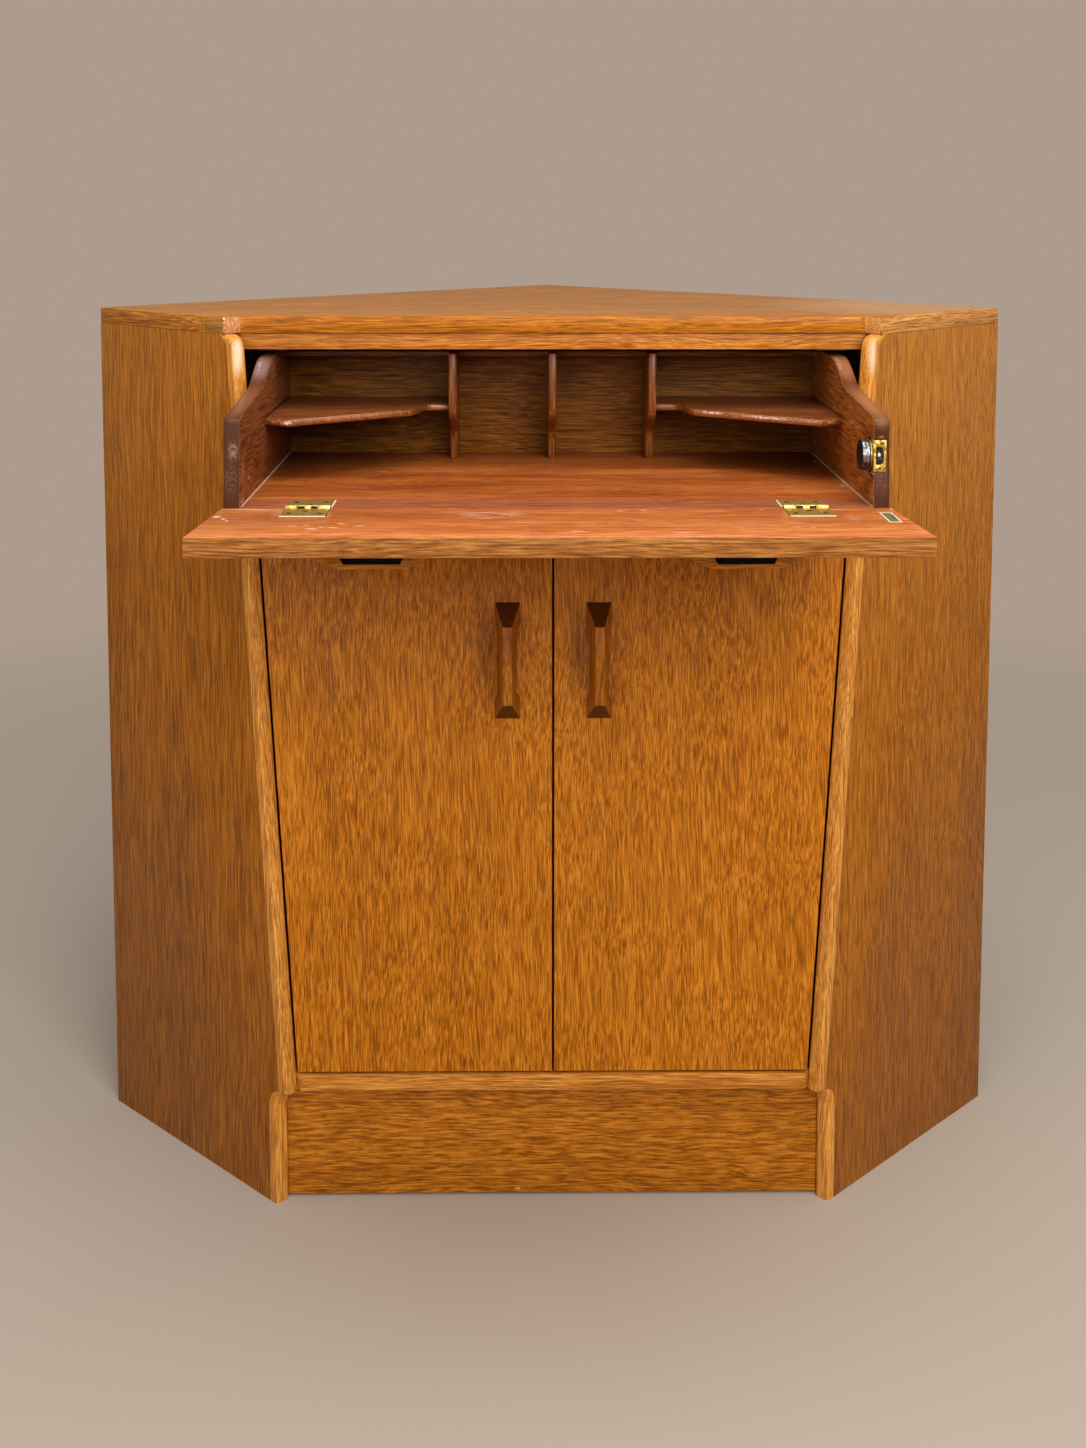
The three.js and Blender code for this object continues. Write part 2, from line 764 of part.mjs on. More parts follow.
function lockParts() {
  const boltBack = lock.boltSetback + lock.boltLength;
  const channel = boltBlock(lock.channelGap, -overrun, boltBack + lock.boltThrow + lock.channelGap);
  lockFrame.add(piece('lock_case', cut(lockCase(0), channel), steel));
  lockFrame.add(piece('lock_forend', cut(forendBlock(0), forendSlot()), brass));
  lockFrame.add(piece('lock_bolt', boltBlock(0, lock.boltSetback, boltBack), steel));
  return [lockCase(lock.pocketGap), forendBlock(glueLine), channel]
    .map((space) => space.applyMatrix4(lockFrame.matrix));
}

function slideSides() {
  const lockSpaces = lockParts();
  const backSpace = slideBackSpace();
  hands.forEach((hand) => {
    const low = hand.sign < 0 ? -slideOuter : slideInner;
    const board = common(plateYZ(sideOutline(), low, low + slide.sideThickness, slide.edgeRound), backSpace);
    const spaces = hand.sign > 0 ? lockSpaces : [];
    cupboard.add(piece(`slide_side_${hand.name}`, cut(board, ...spaces), mahogany));
  });
}

// Hinge parts, about the pin's line: X along the joint, Y back over the desk, Z up
function hingeFrame(hand) {
  const frame = new THREE.Group();
  frame.position.set(hand.sign * hinge.centreOffset, slideFront, deskTop);
  frame.updateMatrix();
  cupboard.add(frame);
  return frame;
}

function leaf(direction, knuckles) {
  const end = hinge.length / 2;
  const near = hinge.knuckleRadius + hinge.knuckleGap;
  const low = hinge.proud - hinge.leafThickness;
  const span = (from, to) => (direction > 0 ? [from, to] : [-to, -from]);
  const plate = block(-end, end, ...span(near, hinge.leafWidth), low, hinge.proud);
  const tongues = knuckles.map(([from, to]) => block(from, to, ...span(0, near + hinge.knuckleGap), low, hinge.proud));
  const barrels = knuckles.map(([from, to]) => barX(hinge.knuckleRadius, from, to, knuckleSides));
  const bore = barX(hinge.boreRadius, -end - overrun, end + overrun, knuckleSides);
  return cut(join(plate, ...tongues, ...barrels), bore);
}

function hingeMortise(direction) {
  const end = hinge.length / 2 + hinge.mortiseGap;
  const low = hinge.proud - hinge.leafThickness - hinge.mortiseGap;
  const far = hinge.leafWidth + hinge.mortiseGap;
  const span = direction > 0 ? [0, far] : [-far, 0];
  const bed = block(-end, end, ...span, low, overrun);
  const groove = barX(hinge.knuckleRadius + hinge.knuckleGap, -end, end, knuckleSides);
  return join(bed, groove);
}

function hinges() {
  const end = hinge.length / 2;
  const middle = hinge.middleLength / 2;
  const outer = middle + hinge.knuckleGap;
  hands.forEach((hand) => {
    const frame = hingeFrame(hand);
    const deskLeaf = leaf(1, [[-end, -outer], [outer, end]]);
    const flapLeaf = leaf(-1, [[-middle, middle]]);
    const pin = barX(hinge.pinRadius, -end, end, knuckleSides);
    frame.add(piece(`hinge_desk_leaf_${hand.name}`, deskLeaf, brass));
    frame.add(piece(`hinge_flap_leaf_${hand.name}`, flapLeaf, brass));
    frame.add(piece(`hinge_pin_${hand.name}`, pin, steel));
  });
}

function hingeSpaces(direction) {
  return hands.map((hand) => hingeMortise(direction).applyMatrix4(hingeFrame(hand).matrix));
}

function desk() {
  const front = slideFront + slide.flapSeat;
  const joint = front + slide.lippingWidth;
  const board = block(-slideInner, slideInner, joint, slideBackInner, slideBottom, deskTop);
  const lipping = block(-slideInner, slideInner, front, joint, slideBottom, deskTop);
  cupboard.add(piece('desk_board', board, mahogany));
  cupboard.add(piece('desk_lipping', cut(lipping, ...hingeSpaces(1)), mahogany));
  const back = block(-slideInner, slideInner, slideBackInner, slideBackOuter, slideBottom, slideTop);
  cupboard.add(piece('slide_back', back, teak));
}

// Upright rack dividers: shallow at the foot, swelling forward to the head
function dividers() {
  const back = slideBackInner;
  const foot = back - divider.footDepth;
  const head = back - divider.headDepth;
  const notchFront = back - rackTop.depth - glueLine;
  const notchFoot = deskTop + rackTop.rise - glueLine;
  const swellMiddle = deskTop + (divider.footRise + divider.swellRise) / 2;
  const shape = new THREE.Shape();
  shape.moveTo(back, deskTop);
  shape.lineTo(back, notchFoot);
  shape.lineTo(notchFront, notchFoot);
  shape.lineTo(notchFront, slideTop);
  shape.lineTo(head, slideTop);
  shape.lineTo(head, deskTop + divider.swellRise);
  shape.bezierCurveTo(head, swellMiddle, foot, swellMiddle, foot, deskTop + divider.footRise);
  shape.lineTo(foot, deskTop);
  const places = [
    ['left', -divider.centreOffset],
    ['centre', 0],
    ['right', divider.centreOffset],
  ];
  places.forEach(([name, x]) => {
    const low = x - divider.thickness / 2;
    const full = plateYZ(shape, low, low + divider.thickness, divider.edgeRound);
    cupboard.add(piece(`divider_${name}`, full, teak));
  });
}

// Side shelves of the rack, deep at the slide's side and swept back to the divider
function rackShelves() {
  const back = slideBackInner;
  const inner = divider.centreOffset + divider.thickness / 2;
  const shelfTop = deskTop + rackShelf.rise;
  const start = inner + rackShelf.shoulderStart;
  const end = inner + rackShelf.shoulderRun;
  const middle = (start + end) / 2;
  hands.forEach((hand) => {
    const at = (x) => hand.sign * x;
    const shape = new THREE.Shape();
    shape.moveTo(at(inner), back);
    shape.lineTo(at(inner), back - rackShelf.innerDepth);
    shape.lineTo(at(start), back - rackShelf.innerDepth);
    shape.bezierCurveTo(
      at(middle),
      back - rackShelf.innerDepth,
      at(middle),
      back - rackShelf.shoulderDepth,
      at(end),
      back - rackShelf.shoulderDepth,
    );
    shape.lineTo(at(slideInner - rackShelf.noseInset), back - rackShelf.noseDepth);
    shape.lineTo(at(slideInner), back - rackShelf.sideDepth);
    shape.lineTo(at(slideInner), back);
    const board = plateXY(shape, shelfTop - rackShelf.thickness, shelfTop, rackShelf.edgeRound);
    cupboard.add(piece(`rack_shelf_${hand.name}`, board, mahogany));
  });
  const strip = block(
    -slideInner,
    slideInner,
    back - rackTop.depth,
    back,
    deskTop + rackTop.rise,
    deskTop + rackTop.rise + rackTop.thickness,
  );
  cupboard.add(piece('rack_top', strip, mahogany));
}

// The strike plate on the flap, met by the lock's bolt when the flap is up
function strikeBlock(length, width, low, high) {
  const middleX = slideInner + lock.forendWidth / 2;
  const middleY = slideFront - lock.rise;
  return block(
    middleX - width / 2,
    middleX + width / 2,
    middleY - length / 2,
    middleY + length / 2,
    low,
    high,
  );
}

function pullBody() {
  const end = pull.length / 2;
  const shoulder = pull.shoulderLength / 2;
  const grip = pull.gripLength / 2;
  const slotEnd = pull.slotLength / 2;
  const crownEnd = pull.slotCrownLength / 2;
  const wide = pull.width / 2;
  const slim = pull.gripWidth / 2;
  const profile = [
    [0, -end],
    [0, end],
    [-pull.shoulderStand, shoulder],
    [-pull.stand, grip],
    [-pull.stand, -grip],
    [-pull.shoulderStand, -shoulder],
  ];
  const slot = [
    [overrun, -slotEnd],
    [overrun, slotEnd],
    [0, slotEnd],
    [-pull.slotDepth, crownEnd],
    [-pull.slotDepth, -crownEnd],
    [0, -slotEnd],
  ];
  const plan = [
    [wide, -end],
    [slim, -grip],
    [slim, grip],
    [wide, end],
    [-wide, end],
    [-slim, grip],
    [-slim, -grip],
    [-wide, -end],
  ];
  const sideView = bridge(profile, slot, pull.width, slim - pull.slotWall);
  return common(sideView, plateXZ(outline(plan), -pull.length, pull.length));
}

function flapParts() {
  const rear = slideFront - flap.jointGap;
  const low = deskTop - flap.thickness;
  const rearHalf = openingHalf(deskTop) - flap.sideGap;
  const frontHalf = openingHalf(flapTop) - flap.sideGap;
  const shape = outline(mirrored([[frontHalf, flapFront], [rearHalf, rear]]));
  const board = plateXY(shape, low, deskTop);
  const gap = hinge.mortiseGap;
  const strikeSpace = strikeBlock(
    strike.length + 2 * gap,
    strike.width + 2 * gap,
    deskTop - strike.thickness - gap,
    deskTop + overrun,
  );
  const boltSpace = strikeBlock(strike.slotLength, strike.slotWidth, deskTop - strike.pocketDepth, deskTop);
  cupboard.add(piece('flap_board', cut(board, ...hingeSpaces(-1), strikeSpace, boltSpace), oak));

  const plate = cut(
    strikeBlock(strike.length, strike.width, deskTop - strike.thickness, deskTop),
    strikeBlock(strike.slotLength, strike.slotWidth, deskTop - strike.pocketDepth, deskTop + overrun),
  );
  cupboard.add(piece('strike_plate', plate, brass));

  // A pull is drawn standing out along -Y, so it is laid down to hang from the flap's outer face
  const layDown = new THREE.Matrix4().set(0, 0, 1, 0, 1, 0, 0, 0, 0, 1, 0, 0, 0, 0, 0, 1);
  hands.forEach((hand) => {
    const grip = pullBody().applyMatrix4(layDown);
    grip.translate(hand.sign * pull.centreOffset, slideFront - pull.hingeDistance, low);
    cupboard.add(piece(`flap_pull_${hand.name}`, grip, oakEdge));
  });
}

function corner() {
  cupboard.add(piece('corner_post', postSpace(0), plainWood));
}

// The case
topBoard();
hands.forEach(sidePanel);
hands.forEach(backPanels);
corner();
const railBack = topRailBoard();
const bedFront = midRailBoard();
bottomBoard();
plinthBoard();
cupboardShelf();
slideBed(bedFront);
slideGuides();
kickers(railBack);
magnetCatch();
doors();

// The writing slide and its flap
slideSides();
desk();
dividers();
rackShelves();
hinges();
flapParts();

export default cupboard;
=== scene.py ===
"""Corner cupboard in oak veneer, with doors below and a mahogany-lined writing slide above.

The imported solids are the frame. Their boards are copied with softly rounded edges and dressed in
wood, and the hardware gets its screws, slots and turned rings. Lengths named mm are in millimetres;
everything that reaches Blender is in metres.
"""

import json
import logging
import math
from dataclasses import dataclass, replace
from enum import Enum
from typing import Callable, Optional, Union

import bmesh
import bpy
from mathutils import Matrix, Vector
from mathutils.bvhtree import BVHTree


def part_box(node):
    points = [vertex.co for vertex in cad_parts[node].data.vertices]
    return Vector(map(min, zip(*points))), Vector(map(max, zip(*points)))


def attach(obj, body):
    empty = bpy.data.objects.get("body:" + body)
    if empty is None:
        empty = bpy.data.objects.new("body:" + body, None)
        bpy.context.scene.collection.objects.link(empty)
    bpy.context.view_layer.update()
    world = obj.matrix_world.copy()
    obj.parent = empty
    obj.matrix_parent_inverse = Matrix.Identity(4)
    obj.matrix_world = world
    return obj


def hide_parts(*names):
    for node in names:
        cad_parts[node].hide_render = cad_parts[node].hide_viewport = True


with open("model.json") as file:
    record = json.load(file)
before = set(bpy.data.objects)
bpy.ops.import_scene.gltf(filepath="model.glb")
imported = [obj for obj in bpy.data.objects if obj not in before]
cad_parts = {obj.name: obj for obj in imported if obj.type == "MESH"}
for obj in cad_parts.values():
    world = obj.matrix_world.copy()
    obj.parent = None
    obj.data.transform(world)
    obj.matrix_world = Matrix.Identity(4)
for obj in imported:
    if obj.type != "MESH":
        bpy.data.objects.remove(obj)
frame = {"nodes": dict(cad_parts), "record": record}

log = logging.getLogger("cupboard")

MM = 0.001
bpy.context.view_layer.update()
HANDS = ("left", "right")
# Cosines above which a face counts as turned a certain way, and as square to it
TURNED = 0.5
SQUARE = 0.9
# A board lies flush with a neighbour that is nearer than this
FLUSH_GAP_MM = 0.6
# Corners nearer than this are one, and faces turned by less than this are one
WELD_MM = 0.002
FLAT_DEG = 0.4
# Share of a bead's length beyond which an edge runs along it
ALONG = 0.9
LACQUER_IOR = 1.5

Tree = bpy.types.NodeTree
Socket = bpy.types.NodeSocket
Input = Union[bpy.types.NodeSocket, float, tuple]
Pair = tuple[float, float]
Spot = tuple[float, float, float]
Quad = tuple[float, float, float, float]
Inputs = dict[Union[str, int], Input]
Polygon = bpy.types.MeshPolygon
Piece = bpy.types.Object
Shape = bmesh.types.BMesh


def linear(code: str) -> Quad:
    """Turns an sRGB hex colour into the linear colour that a shader reads.

    Args:
        code: Six hex digits.

    Returns:
        Red, green, blue and alpha, all from 0 to 1.
    """
    shares = (int(code[i:i + 2], 16) / 255 for i in (0, 2, 4))
    red, green, blue = (c / 12.92 if c <= 0.04045 else ((c + 0.055) / 1.055) ** 2.4 for c in shares)
    return (red, green, blue, 1.0)


def add(tree: Tree, kind: str, inputs: Optional[Inputs] = None, **settings: str) -> bpy.types.Node:
    """Adds one shader node, with its settings, socket values and links.

    Args:
        tree: Node tree that takes the node.
        kind: The node's type name after "ShaderNode".
        inputs: Socket name or number to a value, or to the output socket that feeds it.
        settings: The node's own attributes.

    Returns:
        The new node.
    """
    made = tree.nodes.new("ShaderNode" + kind)
    for name, value in settings.items():
        setattr(made, name, value)
    for socket, value in (inputs or {}).items():
        if isinstance(value, bpy.types.NodeSocket):
            tree.links.new(value, made.inputs[socket])
        else:
            made.inputs[socket].default_value = value
    return made


def blank(name: str) -> tuple[bpy.types.Material, Tree]:
    """Makes an empty node material.

    Args:
        name: The material's name.

    Returns:
        The material and its cleared node tree.
    """
    material = bpy.data.materials.new(name)
    material.use_nodes = True
    material.node_tree.nodes.clear()
    return material, material.node_tree


def blend(tree: Tree, share: Input, first: Input, second: Input) -> Socket:
    """Mixes two colours, from the first at a share of 0 to the second at 1."""
    return add(tree, "Mix", {0: share, 6: first, 7: second}, data_type="RGBA").outputs[2]


def ramped(tree: Tree, value: Socket, low: float, high: float, start: float = 0.0,
           end: float = 1.0) -> Socket:
    """Maps a value from the span low to high to the span start to end, held at both ends."""
    spans = {"Value": value, "From Min": low, "From Max": high, "To Min": start, "To Max": end}
    return add(tree, "MapRange", spans).outputs[0]


def maths(tree: Tree, operation: str, first: Input, second: Input = 0.0) -> Socket:
    """Adds one sum, named as Blender names it."""
    return add(tree, "Math", {0: first, 1: second}, operation=operation).outputs[0]


def speckle(tree: Tree, place: Socket, size_mm: float, detail: float) -> Socket:
    """Adds noise whose features are equally long in every direction."""
    return add(tree, "TexNoise", {"Vector": place, "Scale": 1 / (size_mm * MM), "Detail": detail}).outputs[0]


def bumped(tree: Tree, height: Socket, strength: float, deep_mm: float) -> Socket:
    """Turns a height into a normal."""
    relief = {"Height": height, "Strength": strength, "Distance": deep_mm * MM}
    return add(tree, "Bump", relief).outputs[0]


class Grain(Enum):
    """Which way the wood's fibres run: the turn that lays them along the texture's X axis."""

    ACROSS = (0.0, 0.0, 0.0)
    DEEP = (0.0, 0.0, math.radians(-90))
    UPRIGHT = (0.0, math.radians(90), 0.0)
    LEFT_CANT = (0.0, 0.0, math.radians(45))
    RIGHT_CANT = (0.0, 0.0, math.radians(-45))


WALLS = {"left": Grain.LEFT_CANT, "right": Grain.RIGHT_CANT}


class Layer(Enum):
    """A layer of a wood's noise: its octaves, and the shift that tells it from the others."""

    FIGURE = (3.0, 3.0)
    STREAK = (3.0, 5.0)
    PORE = (2.0, 7.0)
    FIBRE = (2.0, 9.0)
    DRIFT = (1.0, 11.0)
    WAVE = (1.0, 13.0)


@dataclass(frozen=True)
class Mark:
    """A worn, chipped or stained patch: an ellipsoid in which a second colour breaks through.

    It breaks through in specks of speck_mm, or evenly where that is 0.
    """

    centre_mm: Spot
    reach_mm: Spot
    colour: str
    strength: float
    speck_mm: float
    turn_deg: float = 0.0
    core: float = 0.35
    speck_span: Pair = (0.40, 0.56)

    def over(self, tree: Tree, place: Socket, base: Socket) -> Socket:
        """Lays the patch over a colour.

        Args:
            tree: Node tree that takes the nodes.
            place: Object coordinates.
            base: The colour without the patch.

        Returns:
            The changed colour.
        """
        centre = tuple(c * MM for c in self.centre_mm)
        moved = add(tree, "VectorMath", {0: place, 1: centre}, operation="SUBTRACT").outputs[0]
        turn = (0.0, 0.0, math.radians(self.turn_deg))
        turned = add(tree, "Mapping", {"Vector": moved, "Rotation": turn}).outputs[0]
        scale = tuple(1 / (r * MM) for r in self.reach_mm)
        local = add(tree, "Mapping", {"Vector": turned, "Scale": scale}).outputs[0]
        away = add(tree, "VectorMath", {0: local}, operation="LENGTH").outputs["Value"]
        share = ramped(tree, away, self.core, 1.0, 1.0, 0.0)
        if self.speck_mm > 0:
            specks = ramped(tree, speckle(tree, place, self.speck_mm, detail=3.0), *self.speck_span)
            share = maths(tree, "MULTIPLY", share, specks)
        return blend(tree, maths(tree, "MULTIPLY", share, self.strength), base, linear(self.colour))


@dataclass(frozen=True)
class Band:
    """A second tone on the edges of a board that stands square to X."""

    colour: str
    inner_mm: float
    outer_mm: float

    def over(self, tree: Tree, place: Socket, base: Socket) -> Socket:
        """Lays the tone over a colour.

        Args:
            tree: Node tree that takes the nodes.
            place: Object coordinates.
            base: The colour without the tone.

        Returns:
            The changed colour.
        """
        aside = maths(tree, "ABSOLUTE", add(tree, "SeparateXYZ", {0: place}).outputs["X"])
        inside = maths(tree, "GREATER_THAN", aside, self.inner_mm * MM)
        outside = maths(tree, "LESS_THAN", aside, self.outer_mm * MM)
        return blend(tree, maths(tree, "MULTIPLY", inside, outside), base, linear(self.colour))


@dataclass(frozen=True)
class Fade:
    """A slow change of tone with height: paler towards the top and darker towards the bottom."""

    above_share: float
    below_share: float = 0.14
    above: str = "D5A66B"
    below: str = "2E1600"
    heights_mm: Spot = (120.0, 450.0, 780.0)

    def over(self, tree: Tree, place: Socket, base: Socket) -> Socket:
        """Lays both tones over a colour.

        Args:
            tree: Node tree that takes the nodes.
            place: Object coordinates.
            base: The colour without the change.

        Returns:
            The changed colour.
        """
        height = add(tree, "SeparateXYZ", {0: place}).outputs["Z"]
        low, middle, high = (level * MM for level in self.heights_mm)
        paled = ramped(tree, height, middle, high, 0.0, self.above_share)
        darkened = ramped(tree, height, low, middle, self.below_share, 0.0)
        base = blend(tree, paled, base, linear(self.above))
        return blend(tree, darkened, base, linear(self.below))


@dataclass(frozen=True)
class Finish:
    """A finish whose material is made once and then shared."""

    name: str

    def build(self) -> bpy.types.Material:
        """Makes the finish's material, or finds it.

        Returns:
            The material.
        """
        if self.name in bpy.data.materials:
            return bpy.data.materials[self.name]
        material, tree = blank(self.name)
        skin = add(tree, "BsdfPrincipled", self.paint(tree, add(tree, "TexCoord").outputs["Object"]))
        add(tree, "OutputMaterial", {"Surface": skin.outputs[0]})
        return material

    def paint(self, tree: Tree, place: Socket) -> Inputs:
        """Gives the shader's inputs for some object coordinates; each kind of finish has its own."""
        raise NotImplementedError


@dataclass(frozen=True)
class Wood(Finish):
    """Varnished timber: tone bands, wavy fibres and dark pores that run along the grain.

    A pair in millimetres is a feature's length and width. Fibres and pores are really under half a
    millimetre wide; they are drawn about a millimetre wide so that they still show in a picture of the
    whole cupboard.
    """

    light: str
    middle: str
    dark: str
    pore: str
    pore_mm: Pair = (15.0, 0.9)
    fibre_mm: Pair = (38.0, 1.15)
    streak_mm: Pair = (170.0, 3.6)
    figure_mm: Pair = (620.0, 60.0)
    figure_share: float = 0.12
    streak_share: float = 0.2
    drift_mm: float = 5.0
    drift_size_mm: Pair = (260.0, 110.0)
    wave_mm: float = 0.9
    wave_size_mm: Pair = (70.0, 40.0)
    bend_span: Pair = (0.25, 0.75)
    fineness: float = 0.55
    pore_strength: float = 0.5
    pore_span: Pair = (0.57, 0.65)
    contrast: float = 1.0
    tone_reach: float = 0.13
    fibre_relief: float = 0.6
    relief: float = 0.3
    relief_mm: float = 0.15
    roughness: float = 0.42
    polish_span: Pair = (0.3, 0.7)
    polish_steps: Pair = (-0.05, 0.07)
    gloss: float = 0.14
    coat: float = 0.02
    coat_roughness: float = 0.22
    grain: Grain = Grain.ACROSS
    marks: tuple[Mark, ...] = ()
    tones: tuple[Union[Band, Fade], ...] = ()

    def cut(self, grain: Grain, marks: tuple[Mark, ...] = (), tones: tuple[Union[Band, Fade], ...] = (),
            suffix: str = "") -> "Wood":
        """Cuts a board from the wood.

        Args:
            grain: Which way the fibres run.
            marks: Worn patches on this piece.
            tones: Further tones that lie under its pores.
            suffix: Added to the material's name, to tell pieces with marks apart.

        Returns:
            The same wood with its own grain and marks.
        """
        name = f"{self.name}_{grain.name.lower()}{suffix}"
        return replace(self, name=name, grain=grain, marks=marks, tones=tones)

    def noise(self, tree: Tree, place: Socket, size_mm: Pair, layer: Layer) -> Socket:
        """Adds noise that is long in the grain's direction.

        Args:
            tree: Node tree that takes the nodes.
            place: Coordinates with the grain along X.
            size_mm: Size of a feature along and across the grain.
            layer: Which of the wood's layers it is.

        Returns:
            The noise value.
        """
        detail, seed = layer.value
        along, across = (1 / (size * MM) for size in size_mm)
        stretch = {"Vector": place, "Scale": (along, across, across), "Location": (seed,) * 3}
        spot = add(tree, "Mapping", stretch).outputs[0]
        grown = {"Vector": spot, "Scale": 1.0, "Detail": detail, "Roughness": self.fineness}
        return add(tree, "TexNoise", grown).outputs[0]

    def wavy(self, tree: Tree, place: Socket) -> Socket:
        """Bends the grain a little, as in a real leaf of veneer.

        Args:
            tree: Node tree that takes the nodes.
            place: Coordinates with the grain along X.

        Returns:
            The bent coordinates.
        """
        bends = []
        for size_mm, reach_mm, layer in ((self.drift_size_mm, self.drift_mm, Layer.DRIFT),
                                         (self.wave_size_mm, self.wave_mm, Layer.WAVE)):
            bend = self.noise(tree, place, size_mm, layer)
            bends.append(ramped(tree, bend, *self.bend_span, -reach_mm * MM, reach_mm * MM))
        shift = maths(tree, "ADD", *bends)
        offset = add(tree, "CombineXYZ", {"X": 0.0, "Y": shift, "Z": shift}).outputs[0]
        return add(tree, "VectorMath", {0: place, 1: offset}, operation="ADD").outputs[0]

    def paint(self, tree: Tree, place: Socket) -> Inputs:
        """Lays out the wood's look.

        Args:
            tree: Node tree that takes the nodes.
            place: Object coordinates.

        Returns:
            The shader's inputs.
        """
        turned = add(tree, "Mapping", {"Vector": place, "Rotation": self.grain.value}).outputs[0]
        bent = self.wavy(tree, turned)
        figure = self.noise(tree, bent, self.figure_mm, Layer.FIGURE)
        streak = self.noise(tree, bent, self.streak_mm, Layer.STREAK)
        fibre = self.noise(tree, bent, self.fibre_mm, Layer.FIBRE)
        pore = self.noise(tree, bent, self.pore_mm, Layer.PORE)
        broad = maths(tree, "ADD", maths(tree, "MULTIPLY", figure, self.figure_share),
                      maths(tree, "MULTIPLY", streak, self.streak_share))
        rest = 1 - self.figure_share - self.streak_share
        tone = maths(tree, "ADD", broad, maths(tree, "MULTIPLY", fibre, rest))
        half = self.tone_reach / self.contrast
        ramp = add(tree, "ValToRGB", {"Fac": ramped(tree, tone, 0.5 - half, 0.5 + half)})
        stops = ramp.color_ramp.elements
        stops[0].color, stops[1].color = linear(self.dark), linear(self.light)
        stops.new(0.5).color = linear(self.middle)
        base = ramp.outputs[0]
        for tint in self.tones:
            base = tint.over(tree, place, base)
        pits = ramped(tree, pore, *self.pore_span)
        base = blend(tree, maths(tree, "MULTIPLY", pits, self.pore_strength), base, linear(self.pore))
        for mark in self.marks:
            base = mark.over(tree, place, base)
        height = maths(tree, "SUBTRACT", maths(tree, "MULTIPLY", fibre, self.fibre_relief), pits)
        dull, rough = (self.roughness + step for step in self.polish_steps)
        return {"Base Color": base, "Roughness": ramped(tree, figure, *self.polish_span, dull, rough),
                "Normal": bumped(tree, height, self.relief, self.relief_mm), "IOR": LACQUER_IOR,
                "Specular IOR Level": self.gloss, "Coat Weight": self.coat,
                "Coat Roughness": self.coat_roughness}


@dataclass(frozen=True)
class Metal(Finish):
    """Cast or turned metal with handling wear: dull patches over a brighter ground."""

    bright: str
    dull: str
    roughness: float
    patch_mm: float = 6.0
    patch_span: Pair = (0.42, 0.62)
    grit_mm: float = 0.7
    relief: float = 0.15
    relief_mm: float = 0.1
    dull_rise: float = 0.22

    def paint(self, tree: Tree, place: Socket) -> Inputs:
        """Lays out the metal's look.

        Args:
            tree: Node tree that takes the nodes.
            place: Object coordinates.

        Returns:
            The shader's inputs.
        """
        worn = ramped(tree, speckle(tree, place, self.patch_mm, detail=4.0), *self.patch_span)
        grit = speckle(tree, place, self.grit_mm, detail=2.0)
        rough = ramped(tree, worn, 0.0, 1.0, self.roughness, self.roughness + self.dull_rise)
        return {"Base Color": blend(tree, worn, linear(self.bright), linear(self.dull)),
                "Metallic": 1.0, "Roughness": rough,
                "Normal": bumped(tree, grit, self.relief, self.relief_mm)}


@dataclass(frozen=True)
class Moulding(Finish):
    """Dull moulded or painted matter with a fine grain in its surface."""

    colour: str
    shade: str
    roughness: float = 0.55
    grain_mm: float = 1.2
    relief: float = 0.2
    relief_mm: float = 0.1

    def paint(self, tree: Tree, place: Socket) -> Inputs:
        """Lays out the moulding's look.

        Args:
            tree: Node tree that takes the nodes.
            place: Object coordinates.

        Returns:
            The shader's inputs.
        """
        speck = speckle(tree, place, self.grain_mm, detail=3.0)
        return {"Base Color": blend(tree, speck, linear(self.shade), linear(self.colour)),
                "Roughness": self.roughness, "Normal": bumped(tree, speck, self.relief, self.relief_mm)}


# Golden oak veneer under a satin lacquer: warm ground, short dark pores that the eye reads as dashes
OAK = Wood("oak_veneer", light="C47A24", middle="A5600C", dark="7C4306", pore="542904", pore_strength=0.45,
           contrast=1.2)
# The doors' leaves, a little brighter and more orange
DOOR_OAK = replace(OAK, name="door_oak", light="D08322", middle="B26708", dark="884904")
# The top's leaf, bleached by the sun and more worn, so that it shines paler at a low angle
TOP_OAK = replace(OAK, name="top_oak", light="C8843A", middle="A96A1C", dark="804C10", gloss=0.22,
                  contrast=1.5)
# A coarser leaf on the plinth, with short wavy dashes
PLINTH_OAK = replace(OAK, name="plinth_oak", fibre_mm=(24.0, 1.8), pore_mm=(12.0, 1.5), wave_mm=2.0)
# The paler, yellower solid oak of the lippings and rails
OAK_SOLID = Wood("oak_solid", light="DC9844", middle="BC7426", dark="905014", pore="5E3208",
                 streak_mm=(120.0, 3.2), figure_mm=(420.0, 26.0), coat=0.08)
# The same along the front of the top, where it is deeper in colour
EDGE_OAK = replace(OAK_SOLID, name="edge_oak", light="CB8620", middle="AE660A", dark="854606")
# And on the top's short right side, painted paler as light from the right
RIGHT_LIT_OAK = replace(OAK_SOLID, name="right_lit_oak", light="E4AA62", middle="C88844", dark="9C622C")
# The narrow upright strips in front of the sides, golden and a little glossy
STRIP_OAK = replace(OAK_SOLID, name="strip_oak", light="F0AC58", middle="D38A2F", dark="A46224", gloss=0.25)
# The browner block at the left front corner of the top
BLOCK_OAK = replace(OAK_SOLID, name="corner_block_oak", light="BE8844", middle="A06C2C", dark="7A4E1A")
# Sawn ends of the solid oak: paler, pinker, with pores that show as dots
OAK_END = Wood("oak_end_grain", light="DCA274", middle="C68656", dark="A2663A", pore="6E4420",
               pore_mm=(1.6, 1.4), fibre_mm=(5.0, 1.8), streak_mm=(30.0, 4.0), figure_mm=(80.0, 12.0))
# Mahogany of the slide, redder and closer in the pore than the oak
MAHOGANY = Wood("mahogany", light="AE5E2C", middle="8E461E", dark="642A10", pore="401806",
                pore_mm=(9.0, 1.1), streak_mm=(110.0, 6.0), figure_mm=(380.0, 34.0), pore_strength=0.35,
                contrast=1.2, roughness=0.36, coat=0.05)
